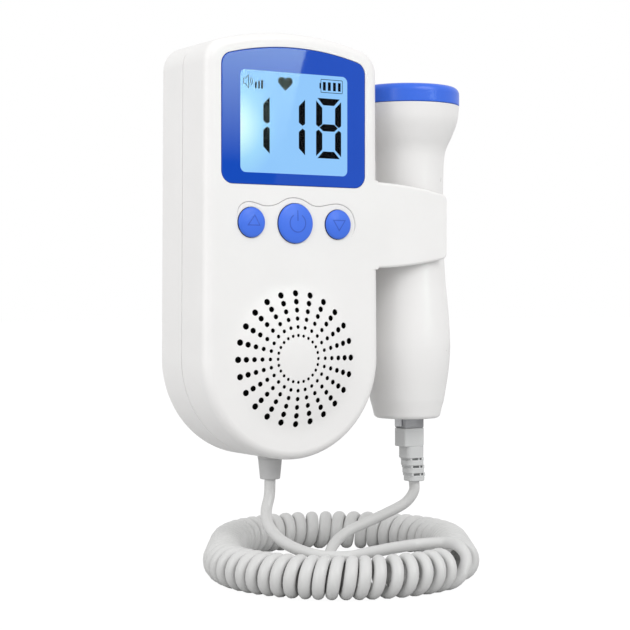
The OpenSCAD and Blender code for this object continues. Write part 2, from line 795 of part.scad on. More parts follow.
// Moulded boot: a block under the housing, a round neck and ribs that lean to the right
module plug_boot() {
    neck_z = plug_low_z - boot_block_h;
    ribs_z = neck_z - boot_neck_h;
    color("#c3c4c5") {
        translate([plug_x - 4.1, at_depth(probe_d) - 3.3, neck_z]) cube([8.2, 6.6, boot_block_h]);
        translate([plug_x + boot_lean * 0.4, at_depth(probe_d), ribs_z]) cylinder(h = boot_neck_h, r = 3.6);
        for (i = [0 : boot_ribs - 1]) {
            lean = along(boot_lean * 0.6, boot_lean, i / (boot_ribs - 1));
            low = ribs_z - (i + 1) * rib_pitch;
            translate([plug_x + lean, at_depth(probe_d), low]) cylinder(h = rib_pitch, r = 2.6);
            translate([plug_x + lean, at_depth(probe_d), low]) cylinder(h = rib_h, r = 3.4);
        }
    }
}

// ---------------------------------------------------------------- cord

gland_r = 4.1;

module cord_gland() {
    inner_z = -half_w + wall;
    color("#b4b5b6") translate([0, at_depth(front_d), 0]) rotate_extrude() polygon([
        [0, gland_low_z], [3.3, gland_low_z], [gland_r - 0.1, -half_w - 0.4], [gland_r, -half_w + 0.6],
        [gland_r, inner_z + 0.6], [5.6, inner_z + 0.6], [5.6, inner_z + 2.1], [3, inner_z + 2.1],
        [3, inner_z + 4], [0, inner_z + 4]
    ]);
}

// One ring of a tube about a point, square to its heading
function tube_ring(p, heading, side, r, n) =
    let (t = unit_vector(heading), a = unit_vector(cross(side, t)), b = cross(t, a))
    [for (k = [0 : n - 1]) p + r * (cos(360 * k / n) * a + sin(360 * k / n) * b)];

// Skin of a tube: two triangles for each side of each stretch, and a fan at both ends
function tube_faces(rings, n) = concat(
    [for (k = [1 : n - 2]) [0, k, k + 1]],
    [for (i = [0 : rings - 2]) for (k = [0 : n - 1])
        [i * n + k, (i + 1) * n + k, i * n + (k + 1) % n]],
    [for (i = [0 : rings - 2]) for (k = [0 : n - 1])
        [i * n + (k + 1) % n, (i + 1) * n + k, (i + 1) * n + (k + 1) % n]],
    [for (k = [1 : n - 2]) [(rings - 1) * n, (rings - 1) * n + k + 1, (rings - 1) * n + k]]
);

// Tube along a list of points
module tube(points, headings, sides, r, n) {
    skin = [for (i = [0 : len(points) - 1]) each tube_ring(points[i], headings[i], sides[i], r, n)];
    polyhedron(points = skin, faces = tube_faces(len(points), n));
}

// Heading at each point of a route; the first and last are given
function route_headings(route, first, last) = [
    for (i = [0 : len(route) - 1])
        i == 0 ? first : i == len(route) - 1 ? last : route[i + 1] - route[i - 1]
];

ring_right = [cos(ring_turn), -sin(ring_turn), 0];
ring_back = [sin(ring_turn), cos(ring_turn), 0];
ring_centre = [ring_x, ring_y, curl_z];

// Ring path by length from its front right: forwards round the front, up the left side,
// round the back and down the right side. Each gives a point and the outward direction.
front_arc = PI * ring_r;
function ring_local(s) =
    s < front_arc ? arc_local(-s / ring_r * 180 / PI, -1)
    : s < front_arc + ring_straight ? [[-ring_r, s - front_arc - ring_straight / 2], [-1, 0]]
    : s < 2 * front_arc + ring_straight ? arc_local(180 - (s - front_arc - ring_straight) / ring_r * 180 / PI, 1)
    : [[ring_r, ring_straight / 2 - (s - 2 * front_arc - ring_straight)], [1, 0]];
function arc_local(a, end) =
    [[ring_r * cos(a), ring_r * sin(a) + end * ring_straight / 2], [cos(a), sin(a)]];
function in_frame(v) = v[0] * ring_right + v[1] * ring_back;

// Point of the curl's middle line at a step, starting at the top of the first curl
function curl_s(i) = ring_len * i / curl_steps;
function curl_point(i) =
    let (here = ring_local(curl_s(i)), a = 360 * i / curl_rings)
    ring_centre + in_frame(here[0]) + curl_r * (sin(a) * in_frame(here[1]) + [0, 0, cos(a)]);
function ring_heading(i) =
    let (o = ring_local(curl_s(i))[1]) in_frame([o[1], -o[0]]);

// A straight lead of one cord diameter at each end, then the curls
curl_first = curl_point(0);
curl_last = curl_point(curl_steps);
lead_slope = ring_len / curl_turns / (2 * PI * curl_r);
lead_in = unit_vector(in_frame([1, -lead_slope]));
lead_out = unit_vector(in_frame([-1, -lead_slope]));
curl_points = concat(
    [curl_first - cord_d * lead_in],
    [for (i = [0 : curl_steps]) curl_point(i)],
    [curl_last + cord_d * lead_out]
);
curl_count = len(curl_points);
curl_headings = [
    for (i = [0 : curl_count - 1])
        i <= 1 ? lead_in : i >= curl_count - 2 ? lead_out : curl_points[i + 1] - curl_points[i - 1]
];
curl_sides_at = [for (i = [0 : curl_count - 1]) ring_heading(min(max(i - 1, 0), curl_steps))];

// Least gap of the curly cord to itself: from each point to every stretch of the next turn,
// and between the two ends of the ring
function to_stretch(p, a, b) =
    let (t = min(1, max(0, (p - a) * (b - a) / ((b - a) * (b - a))))) norm(p - a - t * (b - a));
turn_gap = min([
    for (i = [0 : curl_count - 1]) for (j = [i + 4 : min(i + 12, curl_count - 2)])
        to_stretch(curl_points[i], curl_points[j], curl_points[j + 1])
]) - cord_d;
end_gap = min([
    for (i = [0 : 12]) for (j = [curl_count - 24 : curl_count - 2])
        to_stretch(curl_points[i], curl_points[j], curl_points[j + 1])
]) - cord_d;
echo(curly_cord_least_gap = min(turn_gap, end_gap), next_turn = turn_gap, ring_ends = end_gap);

module curly_cord() {
    color("#c9c9c8") tube(curl_points, curl_headings, curl_sides_at, cord_d / 2, curl_sides);
}

module cord_lower() {
    color("#c2c1bf") tube(
        lower_route, route_headings(lower_route, [0, 0, -1], lead_in),
        [for (p = lower_route) ring_back], cord_d / 2, cord_sides
    );
}

module cord_upper() {
    color("#c6c5c3") tube(
        upper_route, route_headings(upper_route, [0, 0, -1], -lead_out),
        [for (p = upper_route) unit_vector([0.2, 1, 0.4])], cord_d / 2, cord_sides
    );
}

front_shell();
rear_shell();
window_panel();
display_gasket();
display_glass();
display_light();
main_board();
board_parts();
button_switches();
board_screws();
case_screws();
button_up();
button_power();
button_down();
speaker_cloth();
speaker_gasket();
speaker_frame();
speaker_cone();
speaker_magnet();
battery_cells();
battery_contacts();
battery_door();
cord_gland();
cord_lower();
curly_cord();
cord_upper();
plug_housing();
plug_contacts();
plug_latch();
plug_boot();
probe_shell();
probe_cap();
probe_crystals();
probe_backing();
probe_board();
probe_socket();
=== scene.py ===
"""Looks of a hand-held fetal doppler monitor: lit window, domed grille, probe in its side clip and a curly cord.

Sizes are in millimetres until a mesh is made. +X is to the right, +Y goes into the case, +Z is up,
and the origin lies on the flat rear face, level with the middle of the grille.
"""

from math import asin, atan2, cos, degrees, hypot, pi, radians, sin, sqrt

import bpy
import numpy as np
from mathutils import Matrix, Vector
from mathutils.geometry import delaunay_2d_cdt


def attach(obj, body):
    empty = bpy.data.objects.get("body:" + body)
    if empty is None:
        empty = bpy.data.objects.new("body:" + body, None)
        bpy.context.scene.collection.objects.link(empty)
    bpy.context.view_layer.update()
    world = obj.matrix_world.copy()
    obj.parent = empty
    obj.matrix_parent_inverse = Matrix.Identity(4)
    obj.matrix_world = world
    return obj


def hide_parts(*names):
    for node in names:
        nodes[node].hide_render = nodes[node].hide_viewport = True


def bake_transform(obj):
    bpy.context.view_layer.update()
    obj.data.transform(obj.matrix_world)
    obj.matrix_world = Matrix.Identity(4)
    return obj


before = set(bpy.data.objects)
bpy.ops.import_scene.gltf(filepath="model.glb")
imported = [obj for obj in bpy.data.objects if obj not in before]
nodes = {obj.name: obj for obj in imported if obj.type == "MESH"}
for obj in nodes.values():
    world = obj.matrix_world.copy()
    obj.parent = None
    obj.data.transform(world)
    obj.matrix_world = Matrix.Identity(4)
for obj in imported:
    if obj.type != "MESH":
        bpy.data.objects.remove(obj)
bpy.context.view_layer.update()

MM = 0.001

# ------ sizes

HALF_W, SIDE_LEAN, UNIT_TOP, UNIT_D, FRONT_D = 32.6, 0.6, 104.5, 31.0, 16.2
ARCH_R, CORNER_R, EDGE_R, REAR_EDGE_R = 100.0, 8.0, 3.0, 1.0
PARTING = -UNIT_D + FRONT_D
ARCH_Z = UNIT_TOP - ARCH_R
CORNER_X = HALF_W - SIDE_LEAN - CORNER_R
CORNER_Z = ARCH_Z + sqrt((ARCH_R - CORNER_R) ** 2 - CORNER_X**2)
CORNER_LEAN = degrees(asin(CORNER_X / (ARCH_R - CORNER_R)))

DOME_R, DOME_H = 23.2, 2.5
HOLE_ROWS, HOLE_SPOKES, HOLES_FROM, HOLES_SPAN, ROW_PITCH = 6, 24, 7.5, 13.5, 2.7
DOME_BALL = (DOME_R**2 + DOME_H**2) / (2 * DOME_H)
DOME_EASE_R, DOME_FOOT_R = 21.5, 27.0

LENS_W, LENS_Z0, LENS_MARGIN, LENS_T, LENS_CORNER = 53.4, 55.5, 4.9, 1.2, 4.0
VIEW_W, VIEW_H, VIEW_Z, VIEW_CORNER = 40.0, 32.4, 75.4, 1.9
PANE_D, IMAGE_D, MARKS_D = 0.01, 0.32, 0.29

BUTTON_Z, BUTTON_GAP, BUTTON_PROUD = 43.4, 16.1, 1.3
BUTTONS = {"button_up": (-BUTTON_GAP, 4.8), "button_power": (0.0, 6.4), "button_down": (BUTTON_GAP, 4.8)}

ARM_ROOT_X, ARM_TIP_X, ARM_T, ARM_TOP, ARM_BOTTOM, ARM_TAPER = 28.6, 60.1, 2.2, 57.9, 29.4, 3.6
ARM_TIP_R, ARM_EDGE, ARM_FILLET = 2.0, 0.9, 0.35

PROBE_X, PROBE_Y = 54.1, -15.5
HEAD_R, HEAD_Z, CAP_H, PROBE_END = 17.9, 85.5, 6.3, 21.7
GRIP_R, WAIST_R = 14.85, 12.4

CORD_R, CURL_R, CURL_FLAT, CURL_WIDE, FLOOR_Z = 1.85, 5.0, 1.75, 2.0, -71.7
RING_X, RING_Y, RING_TURN, RING_R, RING_STRAIGHT = 23.0, -21.6, 31.3, 37.9, 32.2
CURLS = 59.5
PER_TURN, PATH_STEPS, CORD_SIDES, ROUND_SIDES = 24, 6, 14, 128

# ------ mesh tools


class Skin:
    """Patches of faces with a normal at each point, gathered into one mesh."""

    def __init__(self):
        self.points, self.normals, self.faces, self.slots = [], [], [], []

    def add(self, points, normals, faces, slot=0):
        points = np.asarray(points, float).reshape(-1, 3)
        normals = np.asarray(normals, float).reshape(-1, 3)
        start = len(self.points)
        for face in faces:
            ring = points[list(face)]
            if np.cross(ring, np.roll(ring, -1, 0)).sum(0) @ normals[list(face)].sum(0) < 0:
                face = face[::-1]
            self.faces.append([start + i for i in face])
            self.slots.append(slot)
        self.points.extend(points)
        self.normals.extend(normals)

    def grid(self, points, normals, wrap=False, slot=0):
        """Rows of points with their normals; wrap joins the last column to the first."""
        points = np.asarray(points, float)
        normals = np.broadcast_to(np.asarray(normals, float), points.shape)
        rows, columns = points.shape[:2]
        faces = []
        for i in range(rows - 1):
            a, b = i * columns, (i + 1) * columns
            for j in range(columns if wrap else columns - 1):
                k = (j + 1) % columns
                faces.append((a + j, b + j, b + k, a + k))
        self.add(points, normals, faces, slot)

    def build(self, name, *materials):
        mesh = bpy.data.meshes.new(name)
        mesh.from_pydata([tuple(p * MM) for p in self.points], [], self.faces)
        mesh.validate(verbose=False)
        for polygon in mesh.polygons:
            polygon.use_smooth = True
        for material in materials:
            mesh.materials.append(material)
        if len(materials) > 1:
            mesh.polygons.foreach_set("material_index", self.slots)
        lengths = [max(np.linalg.norm(n), 1e-9) for n in self.normals]
        mesh.normals_split_custom_set_from_vertices([tuple(n / k) for n, k in zip(self.normals, lengths)])
        return link(bpy.data.objects.new(name, mesh))


def link(thing):
    bpy.context.scene.collection.objects.link(thing)
    return thing


def round_angles(count):
    return np.linspace(0, 2 * pi, count, endpoint=False)


def smooth_step(t):
    t = min(1.0, max(0.0, t))
    return t * t * (3 - 2 * t)


def rounded(corners, steps=4, beside=0.12):
    """A line through (x, y, radius) corners, each rounded, with a point close to both ends of each curve."""
    points = [Vector(c[:2]) for c in corners]
    out = [points[0]]
    for i in range(1, len(corners) - 1):
        p, radius = points[i], corners[i][2]
        u, v = (points[i - 1] - p).normalized(), (points[i + 1] - p).normalized()
        if radius <= 0:
            out.append(p)
            continue
        half = u.angle(v) / 2
        reach = radius / np.tan(half)
        centre = p + (u + v).normalized() * (radius / sin(half))
        a, b = p + u * reach - centre, p + v * reach - centre
        turn = a.angle_signed(b)
        out.append(p + u * (reach + beside))
        for k in range(steps + 1):
            angle = -turn * k / steps
            out.append(centre + Vector((a.x * cos(angle) - a.y * sin(angle), a.x * sin(angle) + a.y * cos(angle))))
        out.append(p + v * (reach + beside))
    out.append(points[-1])
    return out


def turned(skin, profile, centre, axis, sides=ROUND_SIDES, slot=0, close_to=None):
    """Turns a profile of (radius, height) points about an axis along Y or Z through a centre."""
    profile = np.array([(p[0], p[1]) for p in profile], float)
    tangent = np.gradient(profile, axis=0)
    tangent /= np.maximum(np.linalg.norm(tangent, axis=1, keepdims=True), 1e-9)
    side = np.stack([tangent[:, 1], -tangent[:, 0]], 1)
    if side[:, 0].sum() < 0 if close_to is None else (side * (profile - np.array(close_to))).sum() < 0:
        side = -side
    angles = round_angles(sides)

    def about(r, h, at):
        if axis == "z":
            return [(at[0] + r * cos(a), at[1] + r * sin(a), at[2] + h) for a in angles]
        return [(at[0] + r * cos(a), at[1] + h, at[2] + r * sin(a)) for a in angles]

    rows = [about(r, h, centre) for r, h in profile]
    skin.grid(rows, [about(r, h, (0, 0, 0)) for r, h in side], wrap=True, slot=slot)


def triangles(loops, extra=()):
    """Triangles between flat loops of points: inside an odd number of them. Returns the points and the faces."""
    flat, edges = [], []
    for loop in loops:
        start = len(flat)
        flat.extend(Vector((p[0], p[1])) for p in loop)
        edges.extend((start + i, start + (i + 1) % len(loop)) for i in range(len(loop)))
    flat.extend(Vector(p) for p in extra)
    points, _, faces, _, _, _ = delaunay_2d_cdt(flat, edges, [], 0, 1e-6)
    at = np.array([tuple(p) for p in points])
    middle = at[np.array(faces)].mean(1)
    crossings = np.zeros(len(faces), int)
    for loop in loops:
        a = np.array([tuple(p[:2]) for p in loop])
        b = np.roll(a, -1, 0)
        low, high = a.min(0), a.max(0)
        near = np.nonzero((middle[:, 1] >= low[1]) & (middle[:, 1] <= high[1]) & (middle[:, 0] <= high[0]))[0]
        x, y = middle[near, 0][:, None], middle[near, 1][:, None]
        rise = np.where(b[:, 1] == a[:, 1], 1e-12, b[:, 1] - a[:, 1])
        crossing = ((a[:, 1] > y) != (b[:, 1] > y)) & (x < a[:, 0] + (y - a[:, 1]) * (b[:, 0] - a[:, 0]) / rise)
        crossings[near] += crossing.sum(1)
    return at, [tuple(f) for f, n in zip(faces, crossings) if n % 2]


def fill(skin, loops, height, normal, extra=(), slot=0):
    """Fills between loops of (x, z) points; height and normal are functions of x and z."""
    points, faces = triangles(loops, extra)
    skin.add([(x, height(x, z), z) for x, z in points], [normal(x, z) for x, z in points], faces, slot)


def fill_level(skin, loops, z, up, slot=0):
    """Fills between loops of (x, y) points at one height."""
    points, faces = triangles(loops)
    skin.add([(x, y, z) for x, y in points], [(0, 0, up)] * len(points), faces, slot)


def tube(path, radius, side_hint, ways=None, wide=None):
    """Grid of points round a path, carried along it without twist; wide is its half width in the ways given."""
    path = np.asarray(path, float)
    heading = np.gradient(path, axis=0)
    heading /= np.linalg.norm(heading, axis=1, keepdims=True)
    u = np.cross(heading[0], np.asarray(side_hint, float) + np.array([0.013, 0.007, 0]))
    rows, normals = [], []
    angles = round_angles(CORD_SIDES)
    for i, (p, t, r) in enumerate(zip(path, heading, np.broadcast_to(radius, len(path)))):
        u = u - (u @ t) * t
        u /= np.linalg.norm(u)
        v = np.cross(t, u)
        around = np.outer(np.cos(angles), u) + np.outer(np.sin(angles), v)
        if ways is None:
            rows.append(p + r * around)
            normals.append(around)
            continue
        way = ways[i] - (ways[i] @ t) * t
        way /= np.linalg.norm(way)
        part = (around @ way)[:, None] * way
        rows.append(p + r * (around - part) + wide[i] * part)
        normals.append((around - part) / r + part / wide[i])
    return np.array(rows), np.array(normals)


def spline(points, steps):
    """A smooth path through points, by Catmull-Rom."""
    p = [np.asarray(q, float) for q in points]
    p = [2 * p[0] - p[1]] + p + [2 * p[-1] - p[-2]]
    out = []
    for a, b, c, d in zip(p, p[1:], p[2:], p[3:]):
        for k in range(steps):
            t = k / steps
            curve = (c - a) * t + (2 * a - 5 * b + 4 * c - d) * t * t + (3 * b - a - 3 * c + d) * t**3
            out.append(0.5 * (2 * b + curve))
    out.append(p[-2])
    return out


def aim(thing, place, way):
    """Puts a camera or a lamp somewhere and turns it along a direction."""
    thing.location = place
    thing.rotation_mode = "QUATERNION"
    thing.rotation_quaternion = way.to_track_quat("-Z", "Y")


def plain(name, points, faces, material):
    """A mesh made straight from its points."""
    mesh = bpy.data.meshes.new(name)
    mesh.from_pydata([tuple(v * MM for v in p) for p in points], [], faces)
    mesh.materials.append(material)
    return link(bpy.data.objects.new(name, mesh))


def bar(name, outline, y0, y1, bevel, material):
    """An outline of (x, z) points raised between two depths, with rounded edges and flat faces."""
    n = len(outline)
    faces = [list(range(n)), list(range(n, 2 * n))[::-1]]
    faces += [(i, i + n, (i + 1) % n + n, (i + 1) % n) for i in range(n)]
    thing = plain(name, [(x, y, z) for y in (y0, y1) for x, z in outline], faces, material)
    for polygon in thing.data.polygons:
        polygon.use_smooth = True
    rounding = thing.modifiers.new("rounded edges", "BEVEL")
    rounding.width, rounding.segments, rounding.limit_method = bevel * MM, 3, "ANGLE"
    rounding.harden_normals = True
    return thing


def settle(piece, body, finish, *stands_for):
    """Attaches a piece to what it moves with and hides the CAD nodes it stands for; finish is not used."""
    if body:
        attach(piece, body)
    if stands_for:
        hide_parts(*stands_for)

# ------ camera

camera_data = bpy.data.cameras.new("camera")
camera_data.sensor_width, camera_data.lens = 36, 97.14
camera_data.clip_start, camera_data.clip_end = 0.01, 50
camera = link(bpy.data.objects.new("camera", camera_data))
CAMERA_AT = Vector((-278.2, -500.3, 18.85)) * MM
yaw, pitch = radians(31.33), radians(-0.505)
aim(camera, CAMERA_AT, Vector((sin(yaw) * cos(pitch), cos(yaw) * cos(pitch), sin(pitch))))
bpy.context.scene.camera = camera

# ------ materials


def linear(r, g, b):
    """A colour given on the usual 0 to 255 scale."""
    return [((c / 255 + 0.055) / 1.055) ** 2.4 if c > 10 else c / 255 / 12.92 for c in (r, g, b)] + [1.0]


def feed(made, inputs):
    """Gives a node's inputs numbers, colours or other nodes' outputs."""
    for key, value in inputs.items():
        if isinstance(value, bpy.types.NodeSocket):
            made.id_data.links.new(value, made.inputs[key])
        else:
            made.inputs[key].default_value = value


def new_node(tree, kind, inputs=None, **values):
    made = tree.nodes.new(kind)
    for key, value in values.items():
        setattr(made, key, value)
    feed(made, inputs or {})
    return made


def seen_directly(tree):
    """One where the camera sees a thing itself or through clear plastic."""
    rays = new_node(tree, "ShaderNodeLightPath").outputs
    both = {0: rays["Is Camera Ray"], 1: rays["Is Transmission Ray"]}
    return new_node(tree, "ShaderNodeMath", both, operation="MAXIMUM").outputs[0]


class Nodes:
    """Short names for making a material's nodes."""

    def __init__(self, name):
        self.material = bpy.data.materials.new(name)
        self.material.use_nodes = True
        self.tree = self.material.node_tree
        self.shader = self.tree.nodes["Principled BSDF"]
        self.where = self.node("ShaderNodeTexCoord").outputs["Object"]

    def node(self, kind, inputs=None, **values):
        return new_node(self.tree, kind, inputs, **values)

    def noise(self, scale, detail=2.0, stretch=None):
        place = self.where
        if stretch:
            place = self.node("ShaderNodeMapping", {"Scale": stretch, "Vector": place}).outputs["Vector"]
        return self.node("ShaderNodeTexNoise", {"Scale": scale, "Detail": detail, "Vector": place}).outputs["Fac"]

    def ramp(self, factor, *stops):
        made = self.node("ShaderNodeValToRGB", {"Fac": factor})
        elements = made.color_ramp.elements
        while len(elements) < len(stops):
            elements.new(0.5)
        for element, (place, colour) in zip(elements, stops):
            element.position, element.color = place, colour
        return made.outputs["Color"]

    def remap(self, value, low, high, from_low=0.0, from_high=1.0):
        ends = {"Value": value, "From Min": from_low, "From Max": from_high, "To Min": low, "To Max": high}
        return self.node("ShaderNodeMapRange", ends).outputs["Result"]

    def maths(self, operation, *values):
        return self.node("ShaderNodeMath", dict(enumerate(values)), operation=operation).outputs[0]

    def mix(self, share, first, second):
        """Two shaders mixed by the share of the second."""
        return self.node("ShaderNodeMixShader", {0: share, 1: first.outputs[0], 2: second.outputs[0]})

    def bump(self, height, strength, distance):
        made = self.node("ShaderNodeBump", {"Strength": strength, "Distance": distance * MM, "Height": height})
        feed(self.shader, {"Normal": made.outputs["Normal"]})

    def show(self, shader):
        feed(self.tree.nodes["Material Output"], {"Surface": shader.outputs[0]})
        return self.material


def plastic(name, rgb, roughness=0.38, vary=0.02, grain=3800, depth=0.006, specular=0.5, uneven=0.05):
    """Moulded plastic or rubber: a faint cloudiness, fine spark-eroded grain and uneven gloss."""
    n, colour = Nodes(name), linear(*rgb)[:3]
    low, high = ([min(1, c * share) for c in colour] + [1] for share in (1 - vary, 1 + vary))
    feed(n.shader, {
        "Base Color": n.ramp(n.noise(42, 3), (0.35, low), (0.65, high)),
        "Roughness": n.remap(n.noise(190), roughness - uneven, roughness + uneven),
        "Specular IOR Level": specular,
    })
    n.bump(n.noise(grain), 0.35, depth)
    return n.material


def metal(name, rgb, roughness):
    """Drawn or plated metal with fine lines."""
    n, colour, stretch = Nodes(name), linear(*rgb), (1, 1, 30)
    feed(n.shader, {
        "Base Color": n.ramp(n.noise(220, 3), (0.3, [c * 0.88 for c in colour[:3]] + [1]), (0.7, colour)),
        "Metallic": 1.0,
        "Roughness": n.remap(n.noise(700, stretch=stretch), roughness - 0.08, roughness + 0.1),
    })
    n.bump(n.noise(900, stretch=stretch), 0.2, 0.004)
    return n.material


def woven(name, rgb, pitch=0.35):
    """Fine dust cloth: crossing threads."""
    n, colour = Nodes(name), linear(*rgb)
    place = n.node("ShaderNodeSeparateXYZ", {"Vector": n.where}).outputs
    threads = [n.maths("SINE", n.maths("MULTIPLY", place[way], 2 * pi / (pitch * MM))) for way in ("X", "Z")]
    both = n.maths("MULTIPLY", *threads)
    dark = [c * 0.5 for c in colour[:3]] + [1]
    feed(n.shader, {"Base Color": n.ramp(n.remap(both, 0, 1, -1, 1), (0.2, dark), (0.8, colour)), "Roughness": 0.9})
    n.bump(both, 0.5, 0.05)
    return n.material


white = plastic("case plastic", (235, 234, 233), 0.34, vary=0.012)
probe_white = plastic("probe plastic", (234, 233, 232), 0.3, vary=0.012, grain=1500, depth=0.004)
print_blue = plastic("window print", (24, 75, 184), 0.02, grain=300, depth=0.0001, specular=0.2, uneven=0.006)
button_blue = plastic("button plastic", (58, 110, 226), 0.33)
symbol_blue = plastic("button symbols", (40, 84, 196), 0.4)
cap_blue = plastic("cap plastic", (46, 103, 222), 0.32)
# Grey for the middle of the wave groove: painted shade in the groove
groove_shade_grey = plastic("line groove painted shade", (168, 169, 171), 0.6)
# Dark grey for the floor of the parting groove: painted shade in the groove
seam_shade_grey = plastic("parting groove", (84, 85, 87), 0.8)
shade_black = plastic("hole shade", (16, 16, 17), 0.9, specular=0.1)
# Dark navy for the buttons' side walls: painted shade on the sides of the buttons
button_side_shade = plastic("button sides painted shade", (14, 30, 92), 0.5, vary=0.05)
cord_skin = plastic("cord jacket", (206, 206, 205), grain=2600, depth=0.01)
gland_rubber = plastic("gland rubber", (186, 186, 186), 0.5, vary=0.03)
boot_rubber = plastic("boot rubber", (205, 206, 206), 0.42, vary=0.025)
# Dark grey for the boot's core between its ribs: painted shade in the slots
boot_slot_shade = plastic("boot slots painted shade", (110, 111, 112), 0.6)
ink = plastic("display marks", (4, 5, 8), 0.6, specular=0.0)
ink_faint = plastic("display fine marks", (10, 22, 40), 0.6, specular=0.0)
foam = plastic("foam", (26, 27, 29), 0.95, vary=0.2, grain=1500, depth=0.08)
board = plastic("solder mask", (30, 92, 58), 0.35, vary=0.12, grain=800, depth=0.02)
moulded_black = plastic("moulded parts", (34, 35, 38), 0.45, vary=0.08)
cone_paper = plastic("cone paper", (48, 48, 50), 0.9, vary=0.15, grain=1200, depth=0.05)
ferrite = plastic("ferrite", (62, 63, 66), 0.6, vary=0.15)
sleeve = plastic("cell sleeve", (44, 110, 66), 0.25, vary=0.05)
ceramic = plastic("ceramic", (206, 190, 142), 0.5, vary=0.06)
resin = plastic("backing resin", (66, 62, 56), 0.7, vary=0.2, grain=1500)
steel = metal("plated steel", (196, 198, 202), 0.28)
gold = metal("plated contacts", (226, 178, 84), 0.2)
basket = metal("pressed basket", (140, 143, 148), 0.4)
cloth = woven("dust cloth", (22, 23, 25))

# ------ cords

LOWER_ROUTE = [
    (0, -14.8, -40), (-0.5, -15.2, -45.5), (-3, -17.5, -50.5), (-6, -25, -54.5), (-7.5, -35.5, -57.5),
    (-7, -46, -59.2), (-4.5, -55, -60), (3, -58.5, -60.3), (12, -56.5, -60), (22.5, -53, -59.9),
    (32, -50.5, -59.9), (37.6, -52.6, -59.5), (41, -57, -59.1), (40.8, -62.6, -59), (40, -67, -60), (39.2, -70, -62),
]
UPPER_ROUTE = [
    (57.1, -15.5, -43.7), (57, -15.4, -47.5), (54, -14.2, -51.5), (47.8, -12, -54.8), (40.8, -10, -57.8),
    (33.8, -9, -60.6), (27, -11.3, -64), (21, -17.5, -67.5), (17, -25, -69.6), (18, -32, -69.85),
    (23.5, -36.8, -69.85), (30, -40, -69.85), (35.2, -43.8, -69.85), (38.2, -48.7, -69.85), (40.4, -54, -69.85),
]

turn = radians(RING_TURN)
RING_RIGHT = np.array([cos(turn), -sin(turn), 0])
RING_BACK = np.array([sin(turn), cos(turn), 0])
RING_CENTRE = np.array([RING_X, RING_Y, FLOOR_Z + CORD_R + CURL_R])
FRONT_ARC = pi * RING_R
RING_LEN = 2 * FRONT_ARC + 2 * RING_STRAIGHT


def in_frame(v):
    return v[0] * RING_RIGHT + v[1] * RING_BACK


def ring_at(s):
    """Point on the ring's middle line at a length from its front right end, and the way outwards."""
    s %= RING_LEN
    if FRONT_ARC <= s < FRONT_ARC + RING_STRAIGHT:
        return (-RING_R, s - FRONT_ARC - RING_STRAIGHT / 2), (-1, 0)
    if s >= 2 * FRONT_ARC + RING_STRAIGHT:
        return (RING_R, RING_STRAIGHT / 2 - (s - 2 * FRONT_ARC - RING_STRAIGHT)), (1, 0)
    a, end = (-s / RING_R, -1) if s < FRONT_ARC else (pi - (s - FRONT_ARC - RING_STRAIGHT) / RING_R, 1)
    return (RING_R * cos(a), RING_R * sin(a) + end * RING_STRAIGHT / 2), (cos(a), sin(a))


# How far along the ring each curl has come: wide at the start, close in front, looser at the back
TURNS = [0, 0.25, 0.5, 1.25, 6.25, 16.25, 29, CURLS]
ALONG = [12, 18.3, 21.4, 25.6, 49.7, 90.2, 150, 306]


def along_ring(turns):
    near = np.linspace(turns - 0.12, turns + 0.12, 5)
    return float(np.interp(near, TURNS, ALONG).mean()) + 0.12 * sin(2.1 * turns) * smooth_step(turns / 3 - 0.5)


def curl_point(turns):
    """A point of the curls: they start on top at the ring's front right and end at the bottom."""
    a = 2 * pi * turns
    here, out = ring_at(along_ring(turns))
    return RING_CENTRE + in_frame(here) + CURL_R * (sin(a) * in_frame(out) + np.array([0, 0, cos(a)]))


def curl_width(turns):
    """Half width of the flattened cord, pressed narrower on the inner side where the curls are close."""
    inner = (1 - sin(2 * pi * turns)) / 2
    return CURL_WIDE + inner * (0.42 * smooth_step((along_ring(turns) - 110) / 40) - 0.2)


def jacket(name, *way):
    """A piece of cord round its path."""
    skin = Skin()
    skin.grid(*tube(*way), wrap=True)
    return skin.build(name, cord_skin)


turns = [k / PER_TURN for k in range(PER_TURN // 4, int(CURLS * PER_TURN) + 1)]
curls = [curl_point(t) for t in turns]
lead = spline(LOWER_ROUTE + [curls[0], curls[3]], PATH_STEPS)[: len(LOWER_ROUTE) * PATH_STEPS]
coil_path = lead + curls
ways = [in_frame((-o[1], o[0])) for o in (ring_at(along_ring(t))[1] for t in turns)]
eased = [smooth_step(t - 0.25) for t in turns]
thick = [CORD_R] * len(lead) + [CORD_R + (CURL_FLAT - CORD_R) * e for e in eased]
wide = [CORD_R] * len(lead) + [CORD_R + (curl_width(t) - CORD_R) * e for t, e in zip(turns, eased)]
curly = jacket("curly_cord_jacket", coil_path, thick, (1, 0, 0), [ways[0]] * len(lead) + ways, wide)
settle(curly, "case", "cord_grey", "cord_lower", "curly_cord")

free_path = spline([curls[-1]] + UPPER_ROUTE[::-1], PATH_STEPS)
free_cord = jacket("probe_cord_jacket", [curls[-2]] + free_path, CORD_R, (0, 0, 1))
settle(free_cord, None, "cord_grey", "cord_upper")

# ------ outlines


def arc(cx, cz, r, start, end, steps, side=1):
    """Points and outward directions along an arc, by degrees; side is -1 for a hollow corner."""
    out = []
    for k in range(steps + 1):
        a = radians(start + (end - start) * k / steps)
        out.append((cx + r * cos(a), cz + r * sin(a), side * cos(a), side * sin(a)))
    return out


def line(x0, z0, x1, z1, nx, nz, steps):
    """Points between two ends, without them."""
    return [(x0 + (x1 - x0) * k / steps, z0 + (z1 - z0) * k / steps, nx, nz) for k in range(1, steps)]


def arm_taper(x):
    return ARM_TAPER * ((x - ARM_ROOT_X) / (ARM_TIP_X - ARM_ROOT_X)) ** 2


def arm_slope(x):
    return 2 * ARM_TAPER * (x - ARM_ROOT_X) / (ARM_TIP_X - ARM_ROOT_X) ** 2


def side_x(z):
    """Half width of the case: its sides lean in a little towards the top."""
    return HALF_W - SIDE_LEAN * max(0.0, z) / CORNER_Z


